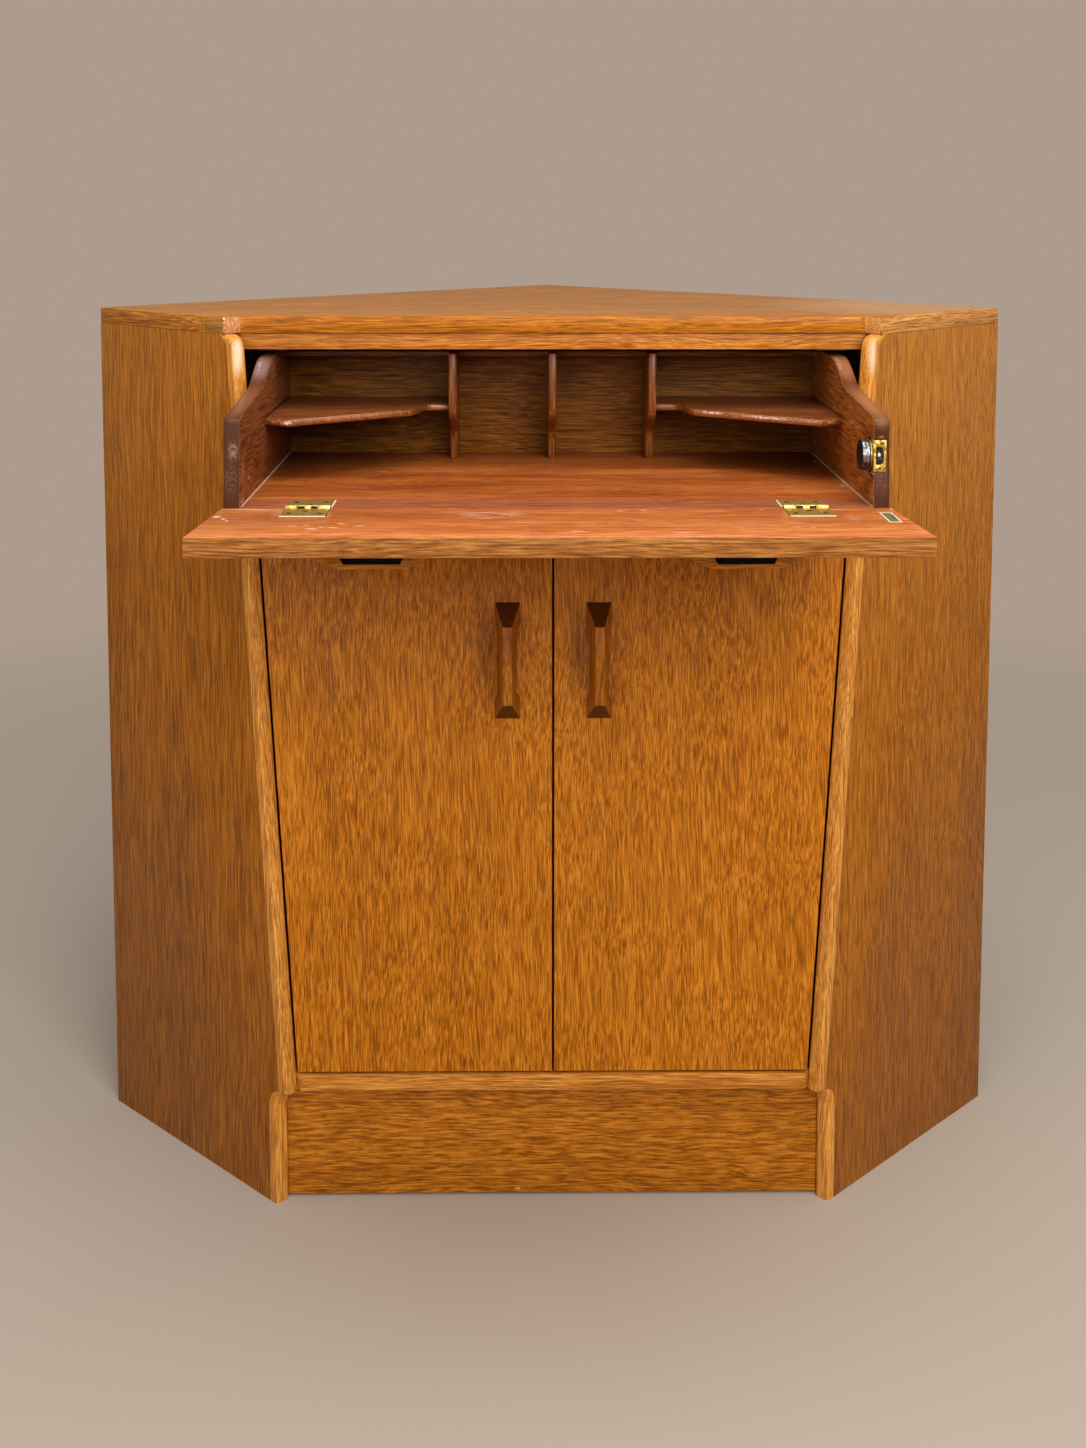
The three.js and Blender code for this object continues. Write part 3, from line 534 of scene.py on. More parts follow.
# The slide's left side, painted darker as the shade inside it, and its right side, painted paler and more
# orange as the light it catches
SIDE_WOODS = {
    "left": replace(MAHOGANY, name="left_side_mahogany", light="985A34", middle="7C4424", dark="542812"),
    "right": replace(MAHOGANY, name="right_side_mahogany", light="C67E35", middle="A35E24", dark="733813"),
}
# Duller boards of the rack's shelves and top
SHELF_WOOD = replace(MAHOGANY, name="shelf_mahogany", light="8C532C", middle="723E1E", dark="502510")
# The same timber where the sun has bleached it, on the desk
DESK_WOOD = Wood("bleached_mahogany", light="C07036", middle="A65522", dark="803A14", pore="58240C",
                 pore_mm=(9.0, 1.1), streak_mm=(120.0, 7.0), figure_mm=(300.0, 40.0), pore_strength=0.3,
                 figure_share=0.3, drift_mm=12.0, contrast=1.4, roughness=0.36, coat=0.04)
# Redder leaf on the flap's inner face
FLAP_LINING = Wood("flap_lining", light="DC8E54", middle="C46E36", dark="A25022", pore="6E3214",
                   pore_mm=(9.0, 1.1), streak_mm=(120.0, 6.0), figure_mm=(360.0, 30.0), pore_strength=0.3,
                   figure_share=0.24, contrast=1.4, roughness=0.4, coat=0.03)
# Dark lipping let into the desk for the hinges
LIPPING_WOOD = Wood("hinge_lipping", light="AE6A46", middle="925032", dark="703822", pore="48200E",
                    pore_mm=(9.0, 1.1), streak_mm=(110.0, 5.0), pore_strength=0.4, roughness=0.36)
# Dark boards that part the rack, polished
DARK_WOOD = Wood("dark_hardwood", light="9A5A26", middle="763E14", dark="4E240A", pore="2A1204",
                 pore_mm=(10.0, 1.1), streak_mm=(80.0, 4.0), figure_mm=(300.0, 22.0), pore_strength=0.5,
                 roughness=0.34, gloss=0.35, coat=0.12)
# Rounded front edges of the shelves, rubbed to a shine
RUBBED_EDGE = replace(DARK_WOOD, name="rubbed_edge", light="AC6634", middle="884A20", gloss=0.6, coat=0.5)
# Oiled hardwood of the handles, striped along the grip
HANDLE_WOOD = Wood("handle_hardwood", light="C07722", middle="9E5912", dark="723804", pore="401E04",
                   pore_mm=(14.0, 1.0), fibre_mm=(30.0, 1.6), streak_mm=(70.0, 2.6), figure_mm=(200.0, 9.0),
                   streak_share=0.4, pore_strength=0.5)
# Its sawn and sloped ends, which soak up the oil and darken, and are painted darker still as the shade that
# falls on them
HANDLE_END_AND_SHADE = Wood("handle_end_grain", light="6E3C12", middle="522A0A", dark="381A04", pore="241002",
                  pore_mm=(1.6, 1.2), fibre_mm=(4.0, 1.5), streak_mm=(30.0, 3.0), pore_strength=0.5)
# Brown veneer of the slide's back, with long dark lines
BACK_WOOD = Wood("brown_back_veneer", light="945A22", middle="70420F", dark="4A2806", pore="2A1404",
                 streak_mm=(220.0, 3.0), figure_mm=(500.0, 26.0), pore_strength=0.38,
                 roughness=0.5, gloss=0.1, coat=0.0)
# Weathered oak of the flap's edges
FLAP_OAK = Wood("flap_oak", light="B87C3E", middle="9A5E28", dark="744016", pore="50300E",
                fibre_mm=(30.0, 1.5), streak_share=0.12, pore_strength=0.4, roughness=0.46)
# Unpolished softwood and plywood inside the case
PLAIN = Wood("plain_softwood", light="D9B98A", middle="C7A26E", dark="A98250", pore="7C5A32",
             pore_strength=0.25, roughness=0.68, coat=0.0)
# Lacquered brass that has worn through in places: pale yellow with brown-green patches
BRASS = Metal("worn_brass", bright="E0C070", dull="94793A", roughness=0.42, patch_mm=4.0)
# The barrel of a hinge, rubbed bright
RUBBED_BRASS = Metal("rubbed_brass", bright="F0D27C", dull="C09A48", roughness=0.34, patch_mm=5.0)
# Screws dark with old polish
DARK_BRASS = Metal("darkened_brass", bright="6E5A2C", dull="2C2412", roughness=0.45, patch_mm=2.0)
# Polished steel band of the lock and plates of the doors, gone dull
STEEL = Metal("polished_steel", bright="94969A", dull="424446", roughness=0.26, patch_mm=3.0)
# Hammered, blackened steel of the lock's drum
BLACK_STEEL = Metal("blackened_steel", bright="4A4D50", dull="16181A", roughness=0.38, patch_mm=2.5,
                    grit_mm=1.8)
# The lock's own brass, duller than the hinges
LOCK_BRASS = Metal("lock_brass", bright="D0AA56", dull="8C6C2E", roughness=0.44, patch_mm=3.0)
# Painted shade: the dark inside of slots and pockets
SHADE = Moulding("slot_shade", "100905", "060302", roughness=0.9, grain_mm=2.0)
# Chalky white filler, and the frame of the flap's strike, painted pale as a highlight on its brass
STRIKE = Moulding("chalky_strike", "F4ECD4", "C6BC92", roughness=0.45, grain_mm=2.2)
# Green tarnish in the middle of the strike
TARNISH = Moulding("green_tarnish", "7E8256", "3C3E26", roughness=0.6, grain_mm=1.6)
# Brown moulded nylon of the magnetic catch
NYLON = Moulding("brown_nylon", "4A372B", "32241B")
# Pale wax and dust that has gathered along the joints
JOINT_DUST = Moulding("joint_dust", "D8B8A2", "9A6A4C", roughness=0.8, grain_mm=3.0)

# A painted pale sheen on the right end of the top, standing in for the light it reflects there
TOP_SHEEN = (Mark((380, 40, 858), (170, 190, 40), "D0A980", 0.45, 0.0),)
# Light that the rounded heads of the two strips catch
STRIP_MARKS = (
    Mark((-299.5, -152, 824), (6, 12, 24), "FFE6C6", 0.75, 0.0),
    Mark((303.7, -152, 824), (6, 12, 24), "F6DCBC", 0.5, 0.0),
)
# A knocked white chip at the top's left front corner, and painted highlights down both its front corners
CORNER_CHIP_AND_HIGHLIGHTS = (
    Mark((-313.2, -146.4, 859.0), (1.8, 1.8, 2.0), "FFF6E4", 1.0, 4.0),
    Mark((-313.2, -146.0, 852.0), (1.6, 2.0, 9.0), "EFC9A2", 0.85, 3.0),
    Mark((313.2, -146.0, 852.0), (1.6, 2.0, 9.0), "EFC9A2", 0.5, 3.0),
)
# A chip in the plinth's lower edge
PLINTH_MARKS = (Mark((-33.7, -178.3, 7.5), (3.0, 3.0, 1.6), "E8CFA4", 0.9, 3.0),)
# Painted sheen and highlights on the curved top edges of the slide's sides, and their knocked corners and
# scratches
SIDE_WEAR_AND_SHEEN = {
    "left": (
        # Painted sheen along the curved top edge, and a painted pale highlight on it
        Mark((-275.5, -262, 794), (12, 104, 17), "804C34", 0.9, 0.0),
        Mark((-276.0, -166, 814), (12, 48, 15), "846660", 0.9, 0.0),
        Mark((-278.0, -160, 815), (3.0, 36, 10), "B8A29C", 0.5, 5.0),
        Mark((-274.0, -343, 761), (6.0, 6, 12), "A8887A", 0.65, 2.2),
        Mark((-276.0, -343, 736), (7, 6, 18), "7E5A4C", 0.35, 3.0),
        Mark((-268.5, -343.4, 738), (1.0, 1.4, 42), "C79A82", 0.55, 2.0),
        Mark((-282.0, -343.0, 775), (1.6, 3, 2.4), "F2DCD0", 0.9, 3.0),
        Mark((-268.5, -292, 730), (3, 9, 2.0), "DDB8A6", 0.7, 1.6),
        Mark((-268.5, -326, 738), (3, 14, 12), "C99580", 0.45, 2.6),
        Mark((-268.5, -330, 716), (3, 14, 3), "D6AC98", 0.6, 2.0),
    ),
    "right": (
        # Painted sheen along the curved top edge, and a painted pale highlight on it
        Mark((275.5, -268, 791), (12, 112, 19), "9E653A", 0.9, 0.0),
        Mark((275.5, -168, 815), (12, 54, 17), "965C3A", 0.9, 0.0),
        Mark((271.5, -152, 817), (3.0, 30, 9), "A89490", 0.5, 3.5),
        Mark((276.0, -343, 733), (7, 6, 16), "6E463A", 0.5, 3.0),
        Mark((268.5, -343.4, 738), (1.0, 1.4, 42), "D0A088", 0.55, 2.0),
        Mark((282.0, -343.0, 775), (1.6, 3, 2.4), "F6E0D4", 0.9, 3.0),
        Mark((268.5, -330, 768.8), (1.5, 13, 0.9), "E8C8A4", 0.85, 2.0),
        Mark((268.5, -333, 740.6), (1.5, 12, 1.1), "F0D8C0", 0.9, 2.0),
        Mark((275.0, -343, 772), (4, 6, 2.2), "B9764A", 0.9, 1.4),
        Mark((268.5, -306, 745), (3, 9, 6), "E2C2B4", 0.85, 1.8),
        Mark((268.5, -314, 736), (3, 16, 5), "D6A088", 0.6, 2.0),
        Mark((268.5, -334, 722), (3, 9, 7), "DBA98E", 0.45, 2.2),
        Mark((268.5, -262, 733), (3, 60, 3), "C47E5A", 0.35, 3.0),
    ),
}
# Painted highlights along the shelves' front edges and on their front corners
SHELF_GLINTS = (
    Mark((-247, -209, 767), (9, 6, 2.4), "ECD2C4", 0.9, 3.0),
    Mark((-260, -200, 767), (11, 6, 2), "C08A70", 0.6, 3.0),
    Mark((-192, -170, 767.5), (60, 5, 1.4), "C28260", 0.6, 3.0, -36.6),
    Mark((151, -140, 768), (15, 5, 1.5), "F2D8C8", 0.9, 2.2, 36.6),
    Mark((200, -176, 767.5), (32, 5, 1.6), "EBC8B0", 0.85, 2.4, 36.6),
    Mark((236, -203, 767.5), (18, 5, 1.4), "C08A66", 0.6, 3.0, 36.6),
    Mark((256, -202, 767), (11, 5, 2), "D8A484", 0.7, 3.0),
)
# Scuffs, dust and a screw hole on the desk
DESK_MARKS = (
    Mark((-232, -60, 712), (34, 14, 4), "C9A38C", 0.4, 2.5),
    Mark((262, -84, 712), (4, 16, 4), "E0CBBB", 0.8, 1.6),
    Mark((196, -237, 712), (24, 1.1, 4), "D9A583", 0.6, 3.0),
    Mark((264, -232, 712), (4.5, 5.5, 4), "E2C6B2", 0.9, 1.4),
    Mark((265, -232, 712), (2.0, 2.6, 4), "3A160A", 1.0, 8.0),
    Mark((-190, -240, 712), (50, 8, 4), "B9856A", 0.3, 4.0),
    Mark((60, -160, 712), (70, 6, 4), "C98A62", 0.3, 4.0),
)
# White chips on the flap's inner face: place and reach along X and Y
FLAP_CHIPS = ((-281, -384, 4.0, 6.0), (-274, -394, 3.0, 4.0), (-270, -402, 2.0, 3.0), (283.0, -350, 2.6, 2.6))
# Its scratches: place, reach and turn
FLAP_SCRATCHES = (
    (-214, -424, 5.0, 1.2, 10), (-203, -422, 3.5, 1.0, -8), (-197, -436, 7.0, 2.0, 12),
    (-190, -429, 3.5, 1.2, -14), (-181, -431, 6.5, 1.3, 0), (-176, -414, 5.5, 1.3, 24),
    (-160, -424, 7.0, 1.0, -25), (53, -358, 6.0, 1.4, 4), (72, -354, 4.5, 1.6, 0),
    (172, -354, 3.0, 1.4, 0), (190, -430, 6.5, 1.2, 0), (203, -431, 4.0, 1.0, 0),
    (14, -448, 9.0, 1.0, 3), (-262, -349, 24, 1.1, 0), (100, -452, 12.0, 1.0, -2),
    (-60, -390, 10.0, 1.0, 2), (-62, -366, 18.0, 1.2, 0), (-44, -374, 14.0, 1.3, 18),
    (-66, -378, 16.0, 1.1, -4), (-250, -352, 20.0, 1.4, 0), (232, -352, 30.0, 1.0, 0),
)
# Its hazy patches: place, reach and strength
FLAP_HAZE = (
    (-75, -372, 12, 15, 0.45), (-37, -372, 12, 15, 0.45), (-55, -386, 22, 8, 0.3), (-232, -366, 9, 26, 0.4),
    (40, -470, 150, 3, 0.4), (-250, -468, 40, 5, 0.35), (243, -392, 9, 24, 0.3),
)


def body_of(node: str) -> str:
    """Finds the body that a CAD node belongs to."""
    return next(b for b, nodes in frame["record"]["behaviour"]["bodies"].items() if node in nodes)


def placed(name: str, bm: Shape, material: bpy.types.Material) -> Piece:
    """Puts a finished bmesh into the scene.

    Args:
        name: The object's name.
        bm: The mesh, which is freed.
        material: Its material.

    Returns:
        The new object.
    """
    mesh = bpy.data.meshes.new(name)
    bm.to_mesh(mesh)
    bm.free()
    mesh.materials.append(material)
    made = bpy.data.objects.new(name, mesh)
    bpy.context.scene.collection.objects.link(made)
    return made


def settle(name: str, bm: Shape, finish: Finish, body: str, round_deg: float = 32.0) -> Piece:
    """Turns a finished bmesh into a piece that rides on a body.

    Args:
        name: The piece's name.
        bm: The mesh, which is freed.
        finish: The piece's finish.
        body: Body that carries the piece.
        round_deg: Edges flatter than this are shaded round.

    Returns:
        The new object.
    """
    for face in bm.faces:
        face.smooth = True
        face.material_index = 0
    for edge in bm.edges:
        edge.smooth = edge.is_manifold and edge.calc_face_angle(0.0) < math.radians(round_deg)
    piece = placed(name, bm, finish.build())
    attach(piece, body)
    return piece


def dress(node: str, finish: Finish) -> None:
    """Gives a CAD node its finish and leaves its shape.

    Args:
        node: The node's name.
        finish: The finish.
    """
    mesh = frame["nodes"][node].data
    mesh.materials.clear()
    mesh.materials.append(finish.build())


def accent(piece: Piece, finish: Finish, chosen: Callable[[Polygon], bool]) -> None:
    """Gives some of a piece's faces a further finish.

    Args:
        piece: The finished piece.
        finish: The further finish.
        chosen: Says whether a face takes it.
    """
    piece.data.materials.append(finish.build())
    place = len(piece.data.materials) - 1
    for polygon in piece.data.polygons:
        if chosen(polygon):
            polygon.material_index = place


def merged_copy(node: str) -> Shape:
    """Copies a CAD node's mesh and merges its loose triangles into whole faces.

    Args:
        node: The node's name.

    Returns:
        The copy.
    """
    bm = bmesh.new()
    bm.from_mesh(frame["nodes"][node].data)
    bmesh.ops.remove_doubles(bm, verts=bm.verts, dist=WELD_MM * MM)
    bmesh.ops.dissolve_limit(bm, angle_limit=math.radians(FLAT_DEG), verts=bm.verts, edges=bm.edges,
                             use_dissolve_boundaries=False)
    return bm


def split(bm: Shape, place: Spot, facing: Spot) -> None:
    """Draws new edges where a plane passes through a mesh."""
    geom = bm.verts[:] + bm.edges[:] + bm.faces[:]
    bmesh.ops.bisect_plane(bm, geom=geom, plane_co=place, plane_no=facing)


def ease(bm: Shape, edges: list[bmesh.types.BMEdge], width_mm: float) -> None:
    """Rounds some edges with two facets each."""
    bmesh.ops.bevel(bm, geom=edges, offset=width_mm * MM, offset_type="OFFSET", segments=2, profile=0.5,
                    affect="EDGES", clamp_overlap=True, material=-1)


def inside(spot: Vector, low: Spot, high: Spot) -> bool:
    """Tells whether a point lies in a box."""
    return all(first < here < last for first, here, last in zip(low, spot, high))


def push(bm: Shape, faces: list[bmesh.types.BMFace], vector: Vector) -> None:
    """Draws a copy of some faces out of a mesh, with walls between.

    Args:
        bm: The mesh.
        faces: The faces.
        vector: Which way and how far.
    """
    moved = bmesh.ops.extrude_face_region(bm, geom=faces)
    verts = [v for v in moved["geom"] if isinstance(v, bmesh.types.BMVert)]
    bmesh.ops.translate(bm, verts=verts, vec=vector)


def sink(bm: Shape, faces: list[bmesh.types.BMFace], vector: Vector) -> None:
    """Presses some faces into a solid.

    Args:
        bm: The solid.
        faces: The faces to press in.
        vector: Which way and how far.
    """
    push(bm, faces, vector)
    bmesh.ops.delete(bm, geom=faces, context="FACES")
    bmesh.ops.recalc_face_normals(bm, faces=bm.faces)


def bead(start: Vector, end: Vector, across: Vector, up: Vector, cuts: int = 12) -> Shape:
    """Runs a thin three-cornered bead from one point to another.

    Args:
        start: Where it starts.
        end: Where it ends.
        across: From the inner corner to one foot of the bead.
        up: From the inner corner to the other foot.
        cuts: How many cuts part its length.

    Returns:
        The bead's mesh.
    """
    bm = bmesh.new()
    push(bm, [bm.faces.new([bm.verts.new(start + v) for v in (Vector(), across, up)])], end - start)
    long_edges = [e for e in bm.edges if e.calc_length() > (end - start).length * ALONG]
    bmesh.ops.subdivide_edges(bm, edges=long_edges, cuts=cuts)
    bmesh.ops.recalc_face_normals(bm, faces=bm.faces)
    return bm


def open_edges(bm: Shape, flush: tuple[str, ...], sharp_deg: float) -> list[bmesh.types.BMEdge]:
    """Picks a board's sharp edges that don't lie against a flush neighbour.

    Args:
        bm: The board.
        flush: Nodes that the board stays flush with.
        sharp_deg: Flatter edges are left out.

    Returns:
        The edges.
    """
    trees = []
    for node in flush:
        other = bmesh.new()
        other.from_mesh(frame["nodes"][node].data)
        trees.append(BVHTree.FromBMesh(other))
        other.free()
    picked = []
    for edge in bm.edges:
        if not edge.is_manifold or edge.calc_face_angle(0.0) < math.radians(sharp_deg):
            continue
        middle = (edge.verts[0].co + edge.verts[1].co) / 2
        if all(tree.find_nearest(middle, FLUSH_GAP_MM * MM)[0] is None for tree in trees):
            picked.append(edge)
    return picked


def soften(node: str, finish: Finish, width_mm: float, flush: tuple[str, ...] = (),
           sharp_deg: float = 30.0) -> Piece:
    """Copies a CAD board, eases its edges and shows the copy in its place.

    Args:
        node: The node's name.
        finish: The copy's finish.
        width_mm: How wide its edges are eased.
        flush: Nodes that it stays flush with.
        sharp_deg: Edges flatter than this aren't eased.

    Returns:
        The new piece.
    """
    bm = merged_copy(node)
    ease(bm, open_edges(bm, flush, sharp_deg), width_mm)
    piece = settle(f"{node}_finished", bm, finish, body_of(node))
    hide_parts(node)
    return piece


def joined(parts: list[Shape]) -> Shape:
    """Gathers several meshes into one.

    Args:
        parts: The meshes, which are freed.

    Returns:
        One mesh.
    """
    whole = bmesh.new()
    for part in parts:
        holder = bpy.data.meshes.new("part")
        part.to_mesh(holder)
        part.free()
        whole.from_mesh(holder)
        bpy.data.meshes.remove(holder)
    return whole


@dataclass
class Screw:
    """A countersunk slotted screw head, seen from outside."""

    radius_mm: float = 2.4
    rise_mm: float = 0.35
    slot_mm: float = 0.7
    slot_depth_mm: float = 0.5
    taper: float = 0.86
    sides: int = 20

    def head(self, place: Matrix, turn_deg: float) -> Shape:
        """Makes one head with its slot.

        Args:
            place: Where the head sits, its outer side along local Z.
            turn_deg: How far the slot is turned.

        Returns:
            The head's mesh.
        """
        bm = bmesh.new()
        wide = self.radius_mm * MM
        bmesh.ops.create_cone(bm, cap_ends=True, segments=self.sides, radius1=wide,
                              radius2=wide * self.taper, depth=2 * self.rise_mm * MM)
        half = self.slot_mm * MM / 2
        for side in (-half, half):
            split(bm, (side, 0, 0), (1, 0, 0))
        cap = [f for f in bm.faces if f.normal.z > SQUARE and abs(f.calc_center_median().x) < half]
        sink(bm, cap, Vector((0, 0, -self.slot_depth_mm * MM)))
        bmesh.ops.rotate(bm, verts=bm.verts, matrix=Matrix.Rotation(math.radians(turn_deg), 3, "Z"))
        bmesh.ops.transform(bm, matrix=place, verts=bm.verts)
        return bm


@dataclass
class Case:
    """The fixed carcase: top, canted sides, rails, plinth, shelf and back."""

    board_ease_mm: float = 0.8
    lip_ease_mm: float = 1.2
    strip_ease_mm: float = 0.4
    catch_ease_mm: float = 1.0
    # Shares of the paler tone high on the side panels; the right one is larger as painted light from the
    # right
    paled_left: float = 0.05
    paled_right: float = 0.12

    def build(self) -> None:
        """Dresses every board of the case."""
        self.top()
        self.side("left", OAK_SOLID, Fade(self.paled_left))
        # The right lipping's paler oak is painted light from the right
        self.side("right", RIGHT_LIT_OAK, Fade(self.paled_right))
        for node in ("top_rail", "mid_rail", "bottom_board"):
            soften(node, OAK_SOLID.cut(Grain.ACROSS), self.board_ease_mm)
        soften("plinth", PLINTH_OAK.cut(Grain.ACROSS, PLINTH_MARKS), self.board_ease_mm)
        soften("cupboard_shelf", OAK.cut(Grain.ACROSS, suffix="_shelf"), self.board_ease_mm)
        dress("slide_bed", PLAIN.cut(Grain.ACROSS))
        dress("corner_post", PLAIN.cut(Grain.UPRIGHT))
        soften("door_catch", NYLON, self.catch_ease_mm)
        log.info("case dressed")

    def top(self) -> None:
        """Dresses the top and the lipping along its front."""
        lips = ("top_lipping_left", "top_lipping_right")
        panel = TOP_OAK.cut(Grain.ACROSS, TOP_SHEEN)
        soften("top_panel", panel, self.board_ease_mm, ("top_front_edge", *lips))
        # The front edge takes painted highlights down its corners, with a chip at the left
        edge = EDGE_OAK.cut(Grain.ACROSS, CORNER_CHIP_AND_HIGHLIGHTS)
        front = soften("top_front_edge", edge, self.lip_ease_mm, ("top_panel", *lips))
        accent(front, OAK_END.cut(Grain.UPRIGHT), lambda face: self.turned_out(face) < -TURNED)
        accent(front, BLOCK_OAK.cut(Grain.LEFT_CANT), lambda face: self.turned_out(face) > TURNED)
        # The faces of the right end take the paler oak: painted light from the right
        accent(front, RIGHT_LIT_OAK.cut(Grain.RIGHT_CANT),
               lambda face: face.center.x > 0 and abs(face.normal.x) > TURNED)

    def side(self, hand: str, lipping: Wood, fade: Fade) -> None:
        """Dresses what stands on one side of the case.

        Args:
            hand: Which side.
            lipping: Wood of the top's lipping there.
            fade: How the side panel's tone changes.
        """
        wall, board = WALLS[hand], self.board_ease_mm
        soften(f"top_lipping_{hand}", lipping.cut(wall), self.lip_ease_mm, ("top_panel", "top_front_edge"))
        panel = OAK.cut(Grain.UPRIGHT, tones=(fade,), suffix=f"_{hand}")
        soften(f"side_panel_{hand}", panel, board, (f"side_edge_{hand}",))
        strip = STRIP_OAK.cut(Grain.UPRIGHT, STRIP_MARKS)
        soften(f"side_edge_{hand}", strip, self.strip_ease_mm, (f"side_panel_{hand}",))
        soften(f"back_panel_{hand}", PLAIN.cut(Grain.UPRIGHT), self.strip_ease_mm)
        dress(f"shelf_rest_{hand}", PLAIN.cut(wall))
        for part in ("slide_guide", "kicker"):
            dress(f"{part}_{hand}", PLAIN.cut(Grain.DEEP))
        for part in ("pivot_lower", "pivot_upper"):
            dress(f"{part}_{hand}", BRASS)

    def turned_out(self, face: Polygon) -> float:
        """Says how far a face looks away from the cupboard's middle along X, from -1 to 1."""
        return face.normal.x * math.copysign(1.0, face.center.x)


@dataclass
class Doors:
    """The two lower doors with their bridge handles."""

    board_ease_mm: float = 0.6
    handle_ease_mm: float = 0.45
    handle_sharp_deg: float = 18.0
    plate_ease_mm: float = 0.4
    end_mm: float = 20.0
    end_slope: float = 0.4
    # Where the painted shadow beside each handle sits, across and up
    painted_shadow_shift_mm: Pair = (-9.0, 8.0)

    def build(self) -> None:
        """Dresses both doors."""
        for hand in HANDS:
            low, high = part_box(f"door_handle_{hand}")
            aside, above = self.painted_shadow_shift_mm
            beside = (low.x / MM + aside, high.y / MM, (low.z + high.z) / 2 / MM + above)
            # A painted shadow that the handle casts on the door, to its left
            painted_shadow = Mark(beside, (13, 14, 62), "2A1604", 0.42, 0.0)
            soften(f"door_{hand}", DOOR_OAK.cut(Grain.UPRIGHT, (painted_shadow,), suffix=f"_{hand}"),
                   self.board_ease_mm)
            handle = soften(f"door_handle_{hand}", HANDLE_WOOD.cut(Grain.UPRIGHT), self.handle_ease_mm,
                            sharp_deg=self.handle_sharp_deg)
            # The sloped ends take the darker end grain, with painted shade
            accent(handle, HANDLE_END_AND_SHADE.cut(Grain.UPRIGHT), lambda face: self.at_end(face, low.z, high.z))
            soften(f"door_plate_{hand}", STEEL, self.plate_ease_mm)
        log.info("doors dressed")

    def at_end(self, face: Polygon, foot: float, head: float) -> bool:
        """Tells whether a face belongs to one of a handle's two sloped ends.

        Args:
            face: The face.
            foot: Height of the handle's lower end.
            head: Height of its upper end.

        Returns:
            True on the sloped ends.
        """
        if abs(face.normal.z) < self.end_slope:
            return False
        end = self.end_mm * MM
        return face.center.z > head - end if face.normal.z > 0 else face.center.z < foot + end


@dataclass
class WritingSlide:
    """The pull-out writing slide: desk, shaped sides and letter rack."""

    ease_mm: float = 0.5
    back_ease_mm: float = 0.3
    divider_ease_mm: float = 1.2
    shelf_ease_mm: float = 2.6
    side_edge_mm: Pair = (269.1, 281.9)
    edge_tone: str = "4A2611"
    rounded: float = 0.25
    bead_mm: float = 0.9
    bead_drop_mm: float = 0.1
    bead_start_mm: Pair = (3.0, 16.0)
    bead_stop_mm: float = 2.0

    def build(self) -> None:
        """Dresses the slide."""
        band = Band(self.edge_tone, *self.side_edge_mm)
        for hand in HANDS:
            side = SIDE_WOODS[hand].cut(Grain.DEEP, SIDE_WEAR_AND_SHEEN[hand], (band,))
            soften(f"slide_side_{hand}", side, self.ease_mm)
            shelf = soften(f"rack_shelf_{hand}", SHELF_WOOD.cut(Grain.ACROSS), self.shelf_ease_mm)
            # The shelves' front edges take painted highlights
            accent(shelf, RUBBED_EDGE.cut(Grain.ACROSS, SHELF_GLINTS, suffix="_shelf"),
                   lambda face: face.normal.y < -self.rounded)
            dress(f"slide_stop_{hand}", PLAIN.cut(Grain.DEEP))
        soften("desk_board", DESK_WOOD.cut(Grain.ACROSS, DESK_MARKS), self.ease_mm, ("desk_lipping",))
        soften("desk_lipping", LIPPING_WOOD.cut(Grain.ACROSS), self.ease_mm, ("desk_board",))
        soften("slide_back", BACK_WOOD.cut(Grain.ACROSS), self.back_ease_mm)
        for place in ("left", "centre", "right"):
            soften(f"divider_{place}", DARK_WOOD.cut(Grain.UPRIGHT), self.divider_ease_mm)
        soften("rack_top", SHELF_WOOD.cut(Grain.ACROSS), self.ease_mm)
        self.joint_beads()
        log.info("writing slide dressed")

    def joint_beads(self) -> None:
        """Lays the pale lines of wax and dust where the desk and the shelves meet the slide's sides."""
        high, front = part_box("desk_board")[1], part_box("desk_lipping")[0].y
        desk_start, shelf_start = (inset * MM for inset in self.bead_start_mm)
        size, drop, stop = self.bead_mm * MM, self.bead_drop_mm * MM, self.bead_stop_mm * MM
        for hand, sign in zip(HANDS, (-1, 1)):
            low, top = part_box(f"rack_shelf_{hand}")
            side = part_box(f"slide_side_{hand}")
            wall = min(abs(side[0].x), abs(side[1].x))
            gap = wall - max(abs(low.x), abs(top.x))
            lines = (("joint", high.x, front + desk_start, high.y, high.z, size),
                     ("shelf", wall, low.y + shelf_start, top.y, top.z - drop, gap))
            for name, aside, ahead, back, level, across in lines:
                start = Vector((sign * aside, ahead, level))
                end = Vector((sign * aside, back - stop, level))
                line = bead(start, end, Vector((-sign * across, 0, 0)), Vector((0, 0, size)))
                settle(f"{name}_bead_{hand}", line, JOINT_DUST, "writing_slide")


